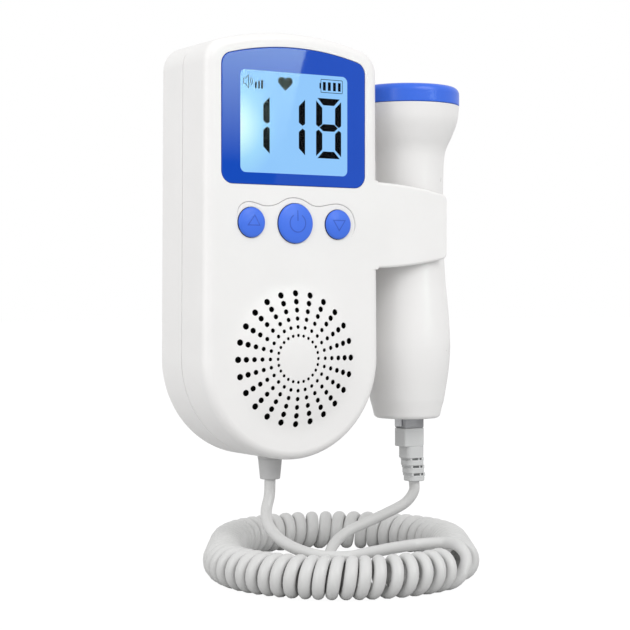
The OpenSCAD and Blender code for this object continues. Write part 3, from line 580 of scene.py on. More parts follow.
def case_outline():
    """The case with its clip arm: points, outward directions, and the arm's share of them."""
    slope = arm_slope(ARM_TIP_X - 1)
    lean = degrees(atan2(slope, 1))
    tip_z = ARM_BOTTOM + arm_taper(ARM_TIP_X - ARM_TIP_R) + ARM_TIP_R / cos(radians(lean))
    middle = (ARM_TOP + ARM_BOTTOM) / 2
    start_x = side_x(ARM_BOTTOM) + ARM_FILLET
    end_x = ARM_TIP_X - ARM_TIP_R + ARM_TIP_R * sin(radians(lean))
    low_z = ARM_BOTTOM + arm_taper(start_x) - ARM_FILLET
    high_z = 2 * middle - low_z

    edge, steps = [], 8
    for k in range(1, 20):
        x = start_x + (end_x - start_x) * k / 20
        n = hypot(arm_slope(x), 1)
        edge.append((x, ARM_BOTTOM + arm_taper(x), arm_slope(x) / n, -1 / n))
    arm = arc(start_x, low_z, ARM_FILLET, 180, 90, steps, -1) + edge
    arm += arc(ARM_TIP_X - ARM_TIP_R, tip_z, ARM_TIP_R, lean - 90, 0, steps)
    lower_half = len(arm)
    arm += line(ARM_TIP_X, tip_z, ARM_TIP_X, 2 * middle - tip_z, 1, 0, steps)
    shift = side_x(ARM_BOTTOM) - side_x(ARM_TOP)
    upper_half = [(x, 2 * middle - z, nx, -nz) for x, z, nx, nz in arm[:lower_half]][::-1]
    arm += [(x - shift * smooth_step((ARM_TIP_X - x) / 28), z, nx, nz) for x, z, nx, nz in upper_half]

    case = arc(0, 0, HALF_W, 0, -180, 90)[::-1]
    turn_low, turn_high = low_z - 0.32, high_z + 0.32
    lower_side = line(HALF_W, 0, side_x(turn_low), turn_low, 1, 0, 14)
    lower_side += line(side_x(turn_low), turn_low, side_x(ARM_BOTTOM), low_z, 1, 0, steps)
    upper = line(side_x(ARM_TOP), high_z, side_x(turn_high), turn_high, 1, 0, steps)
    upper += line(side_x(turn_high), turn_high, HALF_W - SIDE_LEAN, CORNER_Z, 1, 0, 16)
    upper += arc(CORNER_X, CORNER_Z, CORNER_R, 0, 90 - CORNER_LEAN, 14)
    upper += arc(0, ARCH_Z, ARCH_R, 90 - CORNER_LEAN, 90 + CORNER_LEAN, 30)[1:]
    upper += arc(-CORNER_X, CORNER_Z, CORNER_R, 90 + CORNER_LEAN, 180, 14)[1:]
    upper += line(SIDE_LEAN - HALF_W, CORNER_Z, -HALF_W, 0, -1, 0, 30)
    return case + lower_side + arm + upper, len(case) + len(lower_side), len(arm), low_z, high_z


OUTLINE, ARM_AT, ARM_COUNT, SIDE_LOW, SIDE_HIGH = case_outline()


def edge_radius(i, full=EDGE_R):
    """Rounding of the outer edge: full round the case, and small along the arm."""
    x, z = OUTLINE[i][:2]
    if ARM_AT <= i < ARM_AT + ARM_COUNT:
        return ARM_EDGE
    if x > 0 and 0 < z < CORNER_Z:
        gap = SIDE_LOW - z if z < SIDE_LOW else z - SIDE_HIGH
        return ARM_EDGE + (full - ARM_EDGE) * smooth_step(gap / 0.3)
    return full


def window_outline(grow):
    """Outline of the window panel, grown all round."""
    w, r = LENS_W / 2 + grow, LENS_CORNER + grow
    arch = ARCH_R - LENS_MARGIN + grow
    cx, low = w - r, LENS_Z0 - grow + r
    cz = ARCH_Z + sqrt((arch - r) ** 2 - cx**2)
    lean = degrees(asin(cx / (arch - r)))
    out = line(-cx, LENS_Z0 - grow, cx, LENS_Z0 - grow, 0, -1, 14)
    out += arc(cx, low, r, -90, 0, 12) + line(w, low, w, cz, 1, 0, 10)
    out += arc(cx, cz, r, 0, 90 - lean, 12) + arc(0, ARCH_Z, arch, 90 - lean, 90 + lean, 30)[1:-1]
    out += arc(-cx, cz, r, 90 + lean, 180, 12) + line(-w, cz, -w, low, -1, 0, 10) + arc(-cx, low, r, 180, 270, 12)
    return out


def box_outline(x0, z0, x1, z1, r, steps=5):
    out = arc(x1 - r, z0 + r, r, -90, 0, steps) + arc(x1 - r, z1 - r, r, 0, 90, steps)
    return out + arc(x0 + r, z1 - r, r, 90, 180, steps) + arc(x0 + r, z0 + r, r, 180, 270, steps)


def inset(loop, by):
    return [(p[0] - p[2] * by, p[1] - p[3] * by) for p in loop]


def swept(loop, rows):
    """Points and normals of rows of (inset, y, outward share, share along y) along a loop."""
    points = [[(p[0] - p[2] * by, y, p[1] - p[3] * by) for p in loop] for by, y, _, _ in rows]
    return points, [[(p[2] * out, along, p[3] * out) for p in loop] for _, _, out, along in rows]


def sweep(skin, loop, rows, closed=True, slot=0):
    skin.grid(*swept(loop, rows), wrap=closed, slot=slot)


def quarter(r, y_face, into, steps=5):
    """Rows that turn a wall into a face at y_face; into is the way into the material along y."""
    turn = [pi / 2 * k / steps for k in range(steps + 1)]
    return [(r * (1 - cos(a)), y_face + into * r * (1 - sin(a)), cos(a), -into * sin(a)) for a in turn]


def hole_rows(r, y_face, into, depth, steps=4):
    """Rows of a hole's loop: its rounded rim, then its wall. The loop's directions point away from the hole."""
    turn = [pi / 2 * k / steps for k in range(steps + 1)]
    rows = [(-r * (1 - sin(a)), y_face + into * r * (1 - cos(a)), -sin(a), -into * cos(a)) for a in turn]
    return rows + [(0, y_face + into * depth, -1, 0)]


def face_loop(full):
    """The case outline where its rounded edge meets the flat face."""
    return [inset([p], edge_radius(i, full))[0] for i, p in enumerate(OUTLINE)]


def circle(cx, cz, r, steps):
    return arc(cx, cz, r, 0, 360 * (steps - 1) / steps, steps - 1)


def flat(y, into):
    return (lambda x, z: y), (lambda x, z: (0, -into, 0))


# ------ case


def dome(rho):
    """Height of the grille's dome and its slope: a ball's cap that eases into the flat front."""
    if rho >= DOME_FOOT_R:
        return 0.0, 0.0
    if rho <= DOME_EASE_R:
        return sqrt(DOME_BALL**2 - rho**2) - (DOME_BALL - DOME_H), -rho / sqrt(DOME_BALL**2 - rho**2)
    h = sqrt(DOME_BALL**2 - DOME_EASE_R**2) - (DOME_BALL - DOME_H)
    span = DOME_FOOT_R - DOME_EASE_R
    m = -DOME_EASE_R / sqrt(DOME_BALL**2 - DOME_EASE_R**2) * span
    t = (rho - DOME_EASE_R) / span
    height = h * (2 * t**3 - 3 * t**2 + 1) + m * (t**3 - 2 * t**2 + t)
    slope = (h * (6 * t**2 - 6 * t) + m * (3 * t**2 - 4 * t + 1)) / span
    return height, slope


def front_height(x, z):
    return -UNIT_D - dome(hypot(x, z))[0]


def front_normal(x, z):
    rho = hypot(x, z)
    slope = dome(rho)[1]
    if rho < 1e-6 or slope == 0:
        return (0, -1, 0)
    return (-slope * x / rho, -1, -slope * z / rho)


def half_case(skin, face_y, into, full):
    """Rounded edge, walls, clip arm and parting groove of one half; into is the way into the case along y."""
    radii = [edge_radius(i, full) for i in range(len(OUTLINE))]
    rows, normals, steps = [], [], 8
    for k in range(steps + 1):
        a = pi / 2 * k / steps
        rows.append([
            (p[0] - p[2] * r * (1 - cos(a)), face_y + into * r * (1 - sin(a)), p[1] - p[3] * r * (1 - cos(a)))
            for p, r in zip(OUTLINE, radii)
        ])
        normals.append([(p[2] * cos(a), -into * sin(a), p[3] * cos(a)) for p in OUTLINE])
    skin.grid(rows, normals, wrap=True)

    arm = OUTLINE[ARM_AT : ARM_AT + ARM_COUNT]
    back = face_y + into * ARM_T
    sweep(skin, arm, [(0, face_y + into * ARM_EDGE, 1, 0)] + quarter(0.4, back, -into), closed=False)
    inner = inset(arm, 0.4)
    loop = [(arm[-1][0] - 0.5, inner[0][1])] + inner + [(arm[-1][0] - 0.5, inner[-1][1])]
    fill(skin, [loop], *flat(back, -into))

    walls, wall_radii = (items[ARM_AT + ARM_COUNT - 1 :] + items[: ARM_AT + 1] for items in (OUTLINE, radii))
    seam = [(0, PARTING - into * 0.36, 1, 0), (0.02, PARTING - into * 0.28, 0.85, into * 0.5),
            (0.1, PARTING - into * 0.2, 0.4, into * 0.9), (0.5, PARTING - into * 0.17, 0.1, into)]
    points, side = swept(walls, seam)
    first = [(p[0], face_y + into * edge, p[1]) for p, edge in zip(walls, wall_radii)]
    skin.grid([first] + points, [[(p[2], 0, p[3]) for p in walls]] + side)
    low_x, high_x = arm[0][0], arm[-1][0]
    behind = [(low_x + (high_x - low_x) * k / 4, SIDE_LOW + (SIDE_HIGH - SIDE_LOW) * k / 4, 1, 0) for k in range(5)]
    sweep(skin, behind, [(0, back - into * 0.5, 1, 0)] + seam, closed=False)
    # The floor of the parting groove, in dark grey: painted shade in the groove
    for part in (walls, behind):
        sweep(skin, part, [(0.42, PARTING - into * 0.25, 1, 0), (0.42, PARTING + into * 0.02, 1, 0)], False, 1)

    # Cradle half and the two ties that carry it
    low, high = ARM_BOTTOM + ARM_TAPER, ARM_TOP - ARM_TAPER
    r_in, r_out = WAIST_R + 0.9, WAIST_R + 2.9
    ring = [(r_in, low + 0.5, -1, 0), (r_in, high - 0.5, -1, 0), (r_in + 0.15, high - 0.15, -0.7, 0.7),
            (r_in + 0.5, high, 0, 1), (r_out - 0.5, high, 0, 1), (r_out - 0.15, high - 0.15, 0.7, 0.7),
            (r_out, high - 0.5, 1, 0), (r_out, low + 0.5, 1, 0), (r_out - 0.15, low + 0.15, 0.7, -0.7),
            (r_out - 0.5, low, 0, -1), (r_in + 0.5, low, 0, -1), (r_in + 0.15, low + 0.15, -0.7, -0.7)]
    points, side = [], []
    gap = asin(min(1.0, (abs(PARTING - PROBE_Y) - 0.05) / r_out))
    start = gap if (PARTING - PROBE_Y) * -into > 0 else -gap
    for k in range(21):
        a = start + (pi / 2 - start) * k / 20
        points.append([(PROBE_X - r * cos(a), PROBE_Y - into * r * sin(a), z) for r, z, _, _ in ring])
        side.append([(-nr * cos(a), -into * nr * sin(a), nz) for _, _, nr, nz in ring])
    skin.grid(points, side, wrap=True)
    for z0 in (low, high - 2.0):
        mid = r_in + 1
        steps = [start + (asin(min(1, abs(back - PROBE_Y) / mid)) - start) * k / 12 for k in range(13)][::-1]
        curve = [(PROBE_X - mid * cos(a), PROBE_Y - into * mid * sin(a)) for a in steps]
        outline = [(side_x(0) - 1, PARTING), (side_x(0) - 1, back)] + curve
        for z, up in ((z0, -1), (z0 + 2.0, 1)):
            fill_level(skin, [outline], z, up)


RIM, GAP_DEPTH = 0.14, 2.2
front = Skin()
half_case(front, -UNIT_D, 1, EDGE_R)
gaps = [window_outline(0.1)] + [circle(x, BUTTON_Z, r + 0.12, 72) for x, r in BUTTONS.values()]
loops = [face_loop(EDGE_R)]
for gap in gaps:
    sweep(front, gap, hole_rows(RIM, -UNIT_D, 1, GAP_DEPTH))
    loops.append(inset(gap, -RIM))

RIM_ROWS = ((-RIM, 0, 0, 1), (-RIM * 0.3, RIM * 0.3, 0.7, 0.7), (0, RIM, 1, 0), (0, 0.3, 1, 0))
for row in range(HOLE_ROWS):
    share = row / (HOLE_ROWS - 1)
    at, hole_r = HOLES_FROM + HOLES_SPAN * share, (1.05 + share) / 2
    for spoke in range(HOLE_SPOKES):
        a = 2 * pi * spoke / HOLE_SPOKES
        x, z = at * cos(a), at * sin(a)
        rim, face = circle(x, z, hole_r, 14), front_normal(x, z)
        rows, normals = [], []
        for by, drop, out, along in RIM_ROWS:
            rows.append([(px, front_height(px, pz) + drop, pz) for px, pz in inset(rim, by)])
            normals.append([(-p[2] * out + face[0] * along, -along, -p[3] * out + face[2] * along) for p in rim])
        front.grid(rows, normals, wrap=True)
        deep = [[(p[0], front_height(p[0], p[1]) + drop, p[1]) for p in rim] for drop in (0.3, 1.9)]
        front.grid(deep, [[(-p[2], 0, -p[3]) for p in rim]] * 2, wrap=True, slot=2)
        loops.append(inset(rim, -RIM))

WAVE = [
    (-21.3, 44.3), (-21.0, 46.5), (-20.2, 48.4), (-18.4, 49.6), (-16.2, 49.9), (-13.7, 49.4), (-11.5, 48.8),
    (-8.9, 48.8), (-6.35, 49.5), (-4.5, 50.5), (-2.65, 51.3), (-0.3, 51.6), (2.2, 51.3), (4.45, 50.4),
    (6.7, 49.3), (9.4, 49.1), (11.65, 49.5), (13.9, 49.9), (17.0, 50.0), (19.7, 49.1), (21.7, 47.35),
    (22.8, 44.4), (22.6, 41.5), (21.3, 39.5),
]
wave = spline([(x, z, 0) for x, z in WAVE], 4)
wave_points = [np.array(p[:2]) for p in wave]
rows, normals, left, right = [], [], [], []
for i, p in enumerate(wave_points):
    ahead = wave_points[min(i + 1, len(wave) - 1)] - wave_points[max(i - 1, 0)]
    ahead = ahead / np.linalg.norm(ahead)
    across = np.array([-ahead[1], ahead[0]])
    fade = smooth_step(min(i, len(wave) - 1 - i) / 9)
    width, depth = 0.05 + 0.2 * fade, 0.42 * fade
    row, side = [], []
    for t in np.linspace(-1, 1, 9):
        q = p + across * width * t
        row.append((q[0], -UNIT_D + depth * (1 - t * t) ** 2, q[1]))
        lean = depth * 4 * t * (1 - t * t) / width
        side.append((-across[0] * lean, -1, -across[1] * lean))
    rows.append(row)
    normals.append(side)
    left.append(p + across * width)
    right.append(p - across * width)
rows, normals = np.array(rows), np.array(normals)
front.grid(rows[:, :4], normals[:, :4])
front.grid(rows[:, 5:], normals[:, 5:])
# The groove's middle takes the grey: painted shade along the wave line
front.grid(rows[:, 3:6], normals[:, 3:6], slot=3)
loops.append([tuple(p) for p in left] + [tuple(p) for p in right[::-1]])

def dots(r, angles):
    return [(r * cos(a), r * sin(a)) for a in angles]


extra = []
for k in range(1, 6):
    extra += dots(1.2 * k, round_angles(6 * k))
for k in range(6):
    extra += dots(HOLES_FROM + ROW_PITCH * k, 2 * pi * (np.arange(HOLE_SPOKES) + 0.5) / HOLE_SPOKES)
for r in (8.85, 11.55, 14.25, 16.95, 19.65):
    extra += dots(r, 2 * pi * np.arange(HOLE_SPOKES) / HOLE_SPOKES)
for r in (22.6, 23.4, 24.2, 25.0, 25.8, 26.4, 27.2, 28.3):
    extra += dots(r, round_angles(72))
fill(front, loops, front_height, front_normal, extra)
shell = front.build("case_front", white, seam_shade_grey, shade_black, groove_shade_grey)
settle(shell, "case", "case_plastic", "front_shell")

DOOR_W, DOOR_Z0, DOOR_Z1 = 15.9, 32.1, 89.9
SCREWS = [(-26.2, 92.5), (26.2, 92.5), (-23.21, -13.4), (23.21, -13.4)]
SCREW_DEPTH = 5.0
rear = Skin()
half_case(rear, 0.0, -1, REAR_EDGE_R)
loops = [face_loop(REAR_EDGE_R)]
door_gap = box_outline(-DOOR_W - 0.2, DOOR_Z0 - 0.2, DOOR_W + 0.2, DOOR_Z1 + 0.2, 0.45)
sweep(rear, door_gap, hole_rows(0.3, 0, -1, GAP_DEPTH))
loops.append(inset(door_gap, -0.3))
for x, z in SCREWS:
    rim = circle(x, z, 2.5, 28)
    sweep(rear, rim, hole_rows(0.35, 0, -1, SCREW_DEPTH))
    fill(rear, [rim, circle(x, z, 1.15, 16)], *flat(-SCREW_DEPTH, -1))
    loops.append(inset(rim, -0.35))
fill(rear, loops, *flat(0.0, -1))
settle(rear.build("case_rear", white, seam_shade_grey), "case", "case_plastic", "rear_shell")

# Battery door: a flat cover with a finger recess at the end away from its hinge
door = Skin()
GRIP_Z, GRIP_HALF, GRIP_BALL, GRIP_OUT = DOOR_Z1 - 7, 7.0, 8.0, 7.2
grip_half_h = sqrt(GRIP_BALL**2 - GRIP_OUT**2)
edge = box_outline(-DOOR_W, DOOR_Z0 + 0.25, DOOR_W, DOOR_Z1, 0.5)
sweep(door, edge, [(0, -GAP_DEPTH, 1, 0)] + quarter(0.35, 0.0, -1))
grip_low, grip_high = GRIP_Z - grip_half_h, GRIP_Z + grip_half_h
grip = [(-GRIP_HALF, grip_low), (GRIP_HALF, grip_low), (GRIP_HALF, grip_high), (-GRIP_HALF, grip_high)]
grooves = []
for k in range(5):
    z = DOOR_Z1 - 13.5 - 1.7 * k
    rib = box_outline(-6.5, z - 0.35, 6.5, z + 0.35, 0.34, 4)
    grooves.append(rib)
    sweep(door, rib, [(0, 0, 0.5, 1), (0.2, 0.3, 0.6, 0.8)])
    fill(door, [inset(rib, 0.2)], *flat(0.3, -1))
fill(door, [inset(edge, 0.35), grip] + grooves, *flat(0.0, -1))
fill(door, [edge], *flat(-GAP_DEPTH, 1))
rows, normals = [], []
for k in range(13):
    t = -1 + 2 * k / 12
    z = t * grip_half_h
    y = GRIP_OUT - sqrt(GRIP_BALL**2 - z**2)
    rows.append([(x, min(0, y), GRIP_Z + z) for x in (-GRIP_HALF, GRIP_HALF)])
    normals.append([(0, (GRIP_OUT - y), -z)] * 2)
door.grid(rows, normals)
for x, side in ((-GRIP_HALF, 1), (GRIP_HALF, -1)):
    cheek = [(x, 0, r[0][2]) for r in rows]
    door.grid([cheek, [(x, r[0][1], r[0][2]) for r in rows]], [[(side, 0, 0)] * 13] * 2)
settle(door.build("battery_cover", white), "battery_door", "case_plastic", "battery_door")

# ------ window and display

clear = Nodes("clear pane")
gloss = clear.node("ShaderNodeBsdfGlossy", {"Roughness": clear.remap(clear.noise(160), 0.014, 0.026)})
pane_clear = clear.show(clear.mix(0.009, clear.node("ShaderNodeBsdfTransparent"), gloss))

GLOW_AT, GLOW_REACH = (-21.5, -30.7, 74), 17
glow = Nodes("lit display")
stretched = glow.node("ShaderNodeMapping", {
    "Vector": glow.where, "Scale": (1.1, 1, 0.95), "Location": (-GLOW_AT[0] * 0.1 * MM, 0, GLOW_AT[2] * 0.05 * MM)
}).outputs["Vector"]
brightest = tuple(v * MM for v in GLOW_AT)
spot = glow.node("ShaderNodeVectorMath", {0: stretched, 1: brightest}, operation="DISTANCE")
far = glow.remap(spot.outputs["Value"], 0, 1, 0, GLOW_REACH * MM)
lamp_colour = glow.ramp(
    far, (0.0, linear(230, 255, 252)), (0.28, linear(205, 249, 253)), (0.62, linear(162, 219, 253)),
    (1.0, linear(147, 202, 253)),
)
display_lit = glow.show(glow.node("ShaderNodeEmission", {"Color": lamp_colour, "Strength": 1.0}))


def view_outline(grow, r, steps):
    """Outline of the window's clear part, grown all round."""
    w, h = VIEW_W / 2 + grow, VIEW_H / 2 + grow
    return box_outline(-w, VIEW_Z - h, w, VIEW_Z + h, r, steps)


window, pane, image, marks = Skin(), Skin(), Skin(), Skin()
edge, view = window_outline(0), view_outline(0, VIEW_CORNER, 8)
sweep(window, edge, [(0, -UNIT_D + LENS_T, 1, 0)] + quarter(0.3, -UNIT_D, 1))
fill(window, [inset(edge, 0.3), view], *flat(-UNIT_D, 1))
sweep(window, view, [(0, -UNIT_D, -1, 0), (0, -UNIT_D + 0.3, -1, 0)])
fill(window, [edge, view], *flat(-UNIT_D + LENS_T, -1))
settle(window.build("window_frame", print_blue), "case", "window_blue", "window_panel")
fill(pane, [view], *flat(-UNIT_D + PANE_D, 1))
settle(pane.build("window_pane", pane_clear), "case", "window_blue")
fill(image, [view_outline(0.4, 1.4, 5)], *flat(-UNIT_D + IMAGE_D, 1))
settle(image.build("display_image", display_lit), "case", "display_blue")


def mark(points, slot=0, hole=None):
    fill(marks, [points, hole] if hole else [points], *flat(-UNIT_D + MARKS_D, 1), slot=slot)


def mark_bar(x0, z0, x1, z1, slot=0):
    mark([(x0, z0), (x1, z0), (x1, z1), (x0, z1)], slot)

BAR = 2.35
upper_bar = [(0, 83.35), (-BAR, 81.05), (-BAR, 75.85), (-0.95, 74.85), (0, 75.5)]
lower_bar = [(0, 73.35), (-0.95, 74.0), (-BAR, 72.8), (-BAR, 67.6), (0, 65.4)]
for right in (-9.21, 3.92, 17.63):
    for shape in (upper_bar, lower_bar):
        mark([(right + x, z) for x, z in shape])
for shape in (upper_bar, lower_bar):
    mark([(8.07 - x, z) for x, z in shape])
mark([(8.6, 84.2), (17.1, 84.2), (14.9, 81.95), (10.8, 81.95)])
mark([(8.6, 64.75), (17.1, 64.75), (14.9, 67.0), (10.8, 67.0)])
mark([(9.35, 74.7), (10.75, 75.85), (14.95, 75.85), (16.35, 74.7), (14.95, 73.55), (10.75, 73.55)])

lobe = [(1.33 + 1.4 * cos(a), 0.85 + 1.4 * sin(a)) for a in np.linspace(radians(162), radians(-38), 16)]
half_heart = [(0, 1.2)] + lobe + [(1.3, -1.18)]
mirrored_half = [(0, -2.4)] + [(-x, z) for x, z in half_heart[:0:-1]]
mark([(-3.45 + 0.98 * x, 87.98 + 0.935 * z) for x, z in half_heart + mirrored_half])
# Battery picture: its case, its pole and four bars
mark(box_outline(9.8, 86.0, 18.2, 90.4, 0.3, 2), 1, box_outline(10.0, 86.2, 18.0, 90.2, 0.2, 2))
mark_bar(9.35, 87.3, 9.8, 89.1, 1)
for x0, x1 in ((10.65, 11.75), (12.55, 13.65), (14.5, 15.6), (16.4, 17.45)):
    mark_bar(x0, 86.75, x1, 89.5)
for x0, x1, z1 in ((-14.55, -13.95, 87.9), (-13.4, -12.8, 88.25), (-12.35, -11.65, 88.6)):
    mark_bar(x0, 85.85, x1, z1)
# Speaker picture: an outlined horn with two sound arcs
horn = [(-18.8, 87.0), (-18.0, 87.0), (-16.9, 85.7), (-16.75, 85.7), (-16.75, 90.0), (-16.9, 90.0), (-18.0, 88.9),
        (-18.8, 88.9)]
horn_in = [(-18.58, 87.2), (-17.93, 87.2), (-16.97, 86.1), (-16.97, 89.6), (-17.93, 88.7), (-18.58, 88.7)]
mark(horn, 1, horn_in)
for r in (1.0, 1.65):
    there, back = np.linspace(-0.95, 0.95, 9), np.linspace(0.95, -0.95, 9)
    mark([(-17.0 + q * cos(a), 87.95 + q * sin(a)) for q, way in ((r, there), (r - 0.24, back)) for a in way], 1)
settle(marks.build("display_marks", ink, ink_faint), "case", "display_blue")

# ------ buttons

CROWN = 0.5


def crown_height(from_middle, r):
    """Depth of a button's face: nearly flat in the middle, falling away to its rim."""
    t = min(1.0, from_middle / r)
    return -UNIT_D - BUTTON_PROUD + CROWN * max(0.0, (6 * t - 1) / 5) ** 2


def outline_strip(points, half, closed=False):
    """A thin closed strip along points, as one loop or as an outer and an inner loop."""
    p = [np.array(q, float) for q in points]
    n = len(p)
    outer, inner = [], []
    for i in range(n):
        a = p[i] - p[i - 1] if closed or i else p[1] - p[0]
        b = p[(i + 1) % n] - p[i] if closed or i < n - 1 else p[i] - p[i - 1]
        a, b = a / np.linalg.norm(a), b / np.linalg.norm(b)
        na, nb = np.array([-a[1], a[0]]), np.array([-b[1], b[0]])
        m = na + nb
        m = m / max(0.35, (m @ na))
        outer.append(tuple(p[i] + m * half))
        inner.append(tuple(p[i] - m * half))
    return (outer, inner) if closed else (outer + inner[::-1],)


def closer(points, step=0.3):
    """More points along the same line."""
    out = []
    for a, b in zip(points, points[1:]):
        n = max(1, round(hypot(b[0] - a[0], b[1] - a[1]) / step))
        out += [(a[0] + (b[0] - a[0]) * k / n, a[1] + (b[1] - a[1]) * k / n) for k in range(n)]
    return out + [points[-1]]


def triangle_sign(a, b, c):
    return outline_strip(closer([a, b, c, a])[:-1], 0.17, True)


SYMBOLS = {
    "button_up": [triangle_sign((-17.9, 42.5), (-15.5, 45.7), (-13.7, 42.5))],
    "button_power": [
        outline_strip([(0.3 + 2.9 * sin(a), 43.5 + 2.9 * cos(a)) for a in np.linspace(0.55, 2 * pi - 0.55, 60)], 0.2),
        outline_strip(closer([(0.3, 44.2), (0.3, 47.6)]), 0.2),
    ],
    "button_down": [triangle_sign((13.8, 44.7), (18.2, 44.7), (15.9, 41.4))],
}
for name, (x, r) in BUTTONS.items():
    profile = [(r * k / 24, crown_height(r * k / 24, r)) for k in range(22)]
    rim = crown_height(r, r)
    profile += [(r - 0.62, crown_height(r - 0.62, r))]
    profile += [(r - 0.3, rim + 0.02), (r - 0.09, rim + 0.2), (r, rim + 0.45)]
    # The side wall and the flange take the dark navy: painted shade on the button's side
    side = [(r, rim + 0.45), (r, rim + 1.2), (r, -UNIT_D + 2.4), (r + 0.05, -UNIT_D + 2.45)]
    side += [(r + 0.6, -UNIT_D + 2.5), (r + 0.6, -UNIT_D + 3.3)]
    skin = Skin()
    for rows, slot in ((profile, 0), (side, 2)):
        turned(skin, rows[::-1], (x, 0, BUTTON_Z), "y", 72, slot, close_to=(0, -UNIT_D + 6))
    for loops in SYMBOLS[name]:
        fill(skin, loops, lambda px, pz: crown_height(hypot(px - x, pz - BUTTON_Z), r) - 0.03, flat(0, 1)[1], slot=1)
    settle(skin.build(name + "_cap", button_blue, symbol_blue, button_side_shade), name, "button_blue", name)

# ------ cord gland and plug

gland = Skin()
gland_profile = rounded([
    (1.9, -39.6, 0), (1.9, -40.0, 0.05), (3.3, -40.0, 0.35), (3.95, -33.5, 0.1), (3.95, -33.3, 0.08),
    (4.1, -33.1, 0.1), (4.1, -31.0, 0), (4.1, -29, 0),
])
turned(gland, gland_profile, (0, PARTING, 0), "z", 48, close_to=(0, -35))
settle(gland.build("gland_sleeve", gland_rubber), "case", "gland_grey", "cord_gland")

PLUG_X, PLUG_Z0, PLUG_Z1 = PROBE_X + 1, -25.2, -10.0
n = Nodes("plug housing")
feed(n.shader, {
    "Base Color": n.ramp(n.noise(60, 3), (0.3, linear(172, 173, 176)), (0.7, linear(196, 197, 200))),
    "Roughness": n.remap(n.noise(200), 0.12, 0.22),
    "Transmission Weight": 0.35,
    "IOR": 1.45,
})
n.bump(n.noise(500), 0.2, 0.01)
x0, x1 = PLUG_X - 3.85, PLUG_X + 3.85
block = [(x0, PLUG_Z0), (x1, PLUG_Z0), (x1, PLUG_Z1), (x0, PLUG_Z1)]
housing = bar("plug_body", block, PROBE_Y - 3.3, PROBE_Y + 3.3, 0.35, n.material)
latch_outline = [
    (PLUG_X - 5.1, PLUG_Z0 + 0.6), (PLUG_X - 4.2, PLUG_Z0 + 0.6), (PLUG_X - 4.2, PLUG_Z1 - 1.9),
    (PLUG_X - 3.8, PLUG_Z1 - 1.7), (PLUG_X - 3.8, PLUG_Z1 - 0.2), (PLUG_X - 5.1, PLUG_Z1 - 0.2),
]
latch_white = plastic("plug latch", (226, 228, 230), 0.22, vary=0.01)
latch = bar("plug_latch_bar", latch_outline, PROBE_Y - 1.6, PROBE_Y + 1.6, 0.18, latch_white)

boot = Skin()


def boot_block(half_x, half_y, r, z0, z1, bevel, to_right, slot=0):
    """A rounded block of the boot: its foot, sides and top."""
    x, outline = PLUG_X + to_right, box_outline(-half_x, -half_y, half_x, half_y, r, 6)
    rows, normals = [], []
    for z, grow, out, up in (
        (z0, -bevel, 0.1, -1), (z0 + bevel * 0.3, -bevel * 0.3, 0.7, -0.7), (z0 + bevel, 0, 1, 0),
        (z1 - bevel, 0, 1, 0), (z1 - bevel * 0.3, -bevel * 0.3, 0.7, 0.7), (z1, -bevel, 0.1, 1),
    ):
        rows.append([(x + p[0] + p[2] * grow, PROBE_Y + p[1] + p[3] * grow, z) for p in outline])
        normals.append([(p[2] * out, p[3] * out, up) for p in outline])
    boot.grid(rows, normals, wrap=True, slot=slot)
    face = [(x + p[0] - p[2] * bevel, PROBE_Y + p[1] - p[3] * bevel) for p in outline]
    fill_level(boot, [face], z0, -1, slot)
    fill_level(boot, [face], z1, 1, slot)


boot_block(4.1, 3.3, 0.7, -31.6, PLUG_Z0 - 0.05, 0.3, 0)
boot_block(3.6, 3.3, 1.6, -35.7, -31.5, 0.3, 0.8)
for i, lean in enumerate((1.2, 1.6, 2.0)):
    low = -35.6 - 2.7 * (i + 1)
    size = 3.4 - 0.12 * i
    boot_block(size, size - 0.15, 1.9, low, low + 1.95, 0.32, lean)
    # The core between the ribs takes the dark grey: painted shade in the slots
    boot_block(2.6, 2.6, 1.6, low + 1.8, low + 2.9, 0.1, lean, slot=1)
    for at, half in ((-2.4, 0.42), (0.8, 0.28), (2.35, 0.42)):
        boot_block(half, size - 0.3, 0.2, low + 1.8, low + 2.9, 0.1, lean + at)
boot_piece = boot.build("plug_boot_ribs", boot_rubber, boot_slot_shade)
settle(housing, "probe", "plug_clear", "plug_housing")
settle(latch, "probe", "plug_clear", "plug_latch")
settle(boot_piece, "probe", "cord_grey", "plug_boot")

# ------ probe

PROBE_KEYS = [
    (-15.7, 12.7), (-10.8, 13.5), (-5, 14.35), (1, 14.83), (5, GRIP_R), (11, 14.55), (18, 14.0),
    (25, 13.25), (33, 12.8), (45, 12.48), (56, WAIST_R), (66, 12.65), (70.5, 13.35), (74.9, 15.3),
    (80, 17.2), (HEAD_Z, HEAD_R),
]
FOOT_R = 7.0
body_line = spline([(r, z, 0) for z, r in PROBE_KEYS], 5)
end = [(FOOT_R, -PROBE_END), (8.5, -PROBE_END)]
end += [(9.9 + 1.6 * sin(a), -PROBE_END + 1.6 * (1 - cos(a))) for a in np.linspace(0, 1.35, 8)]
profile = end + [(11.95, -18.3)] + body_line[:-1]
profile += [(HEAD_R - by, HEAD_Z - down) for by, down in ((0.01, 0.45), (0.03, 0.3), (0.12, 0.14), (0.4, 0.1))]
probe = Skin()
turned(probe, profile, (PROBE_X, PROBE_Y, 0), "z")
# The foot's opening for the plug
slot_in = box_outline(-4.05, -3.5, 4.05, 3.5, 0.4, 4)
disc = dots(FOOT_R, round_angles(ROUND_SIDES))
foot = [[(x + p[0], PROBE_Y + p[1]) for p in loop] for x, loop in ((PROBE_X, disc), (PLUG_X, slot_in))]
fill_level(probe, foot, -PROBE_END, -1)
walls = [[(PLUG_X + p[0], PROBE_Y + p[1], z) for p in slot_in] for z in (-PROBE_END, -PROBE_END + 3)]
probe.grid(walls, [[(-p[2], -p[3], 0) for p in slot_in]] * 2, wrap=True)
settle(probe.build("probe_body", probe_white), "probe", "probe_plastic", "probe_shell")

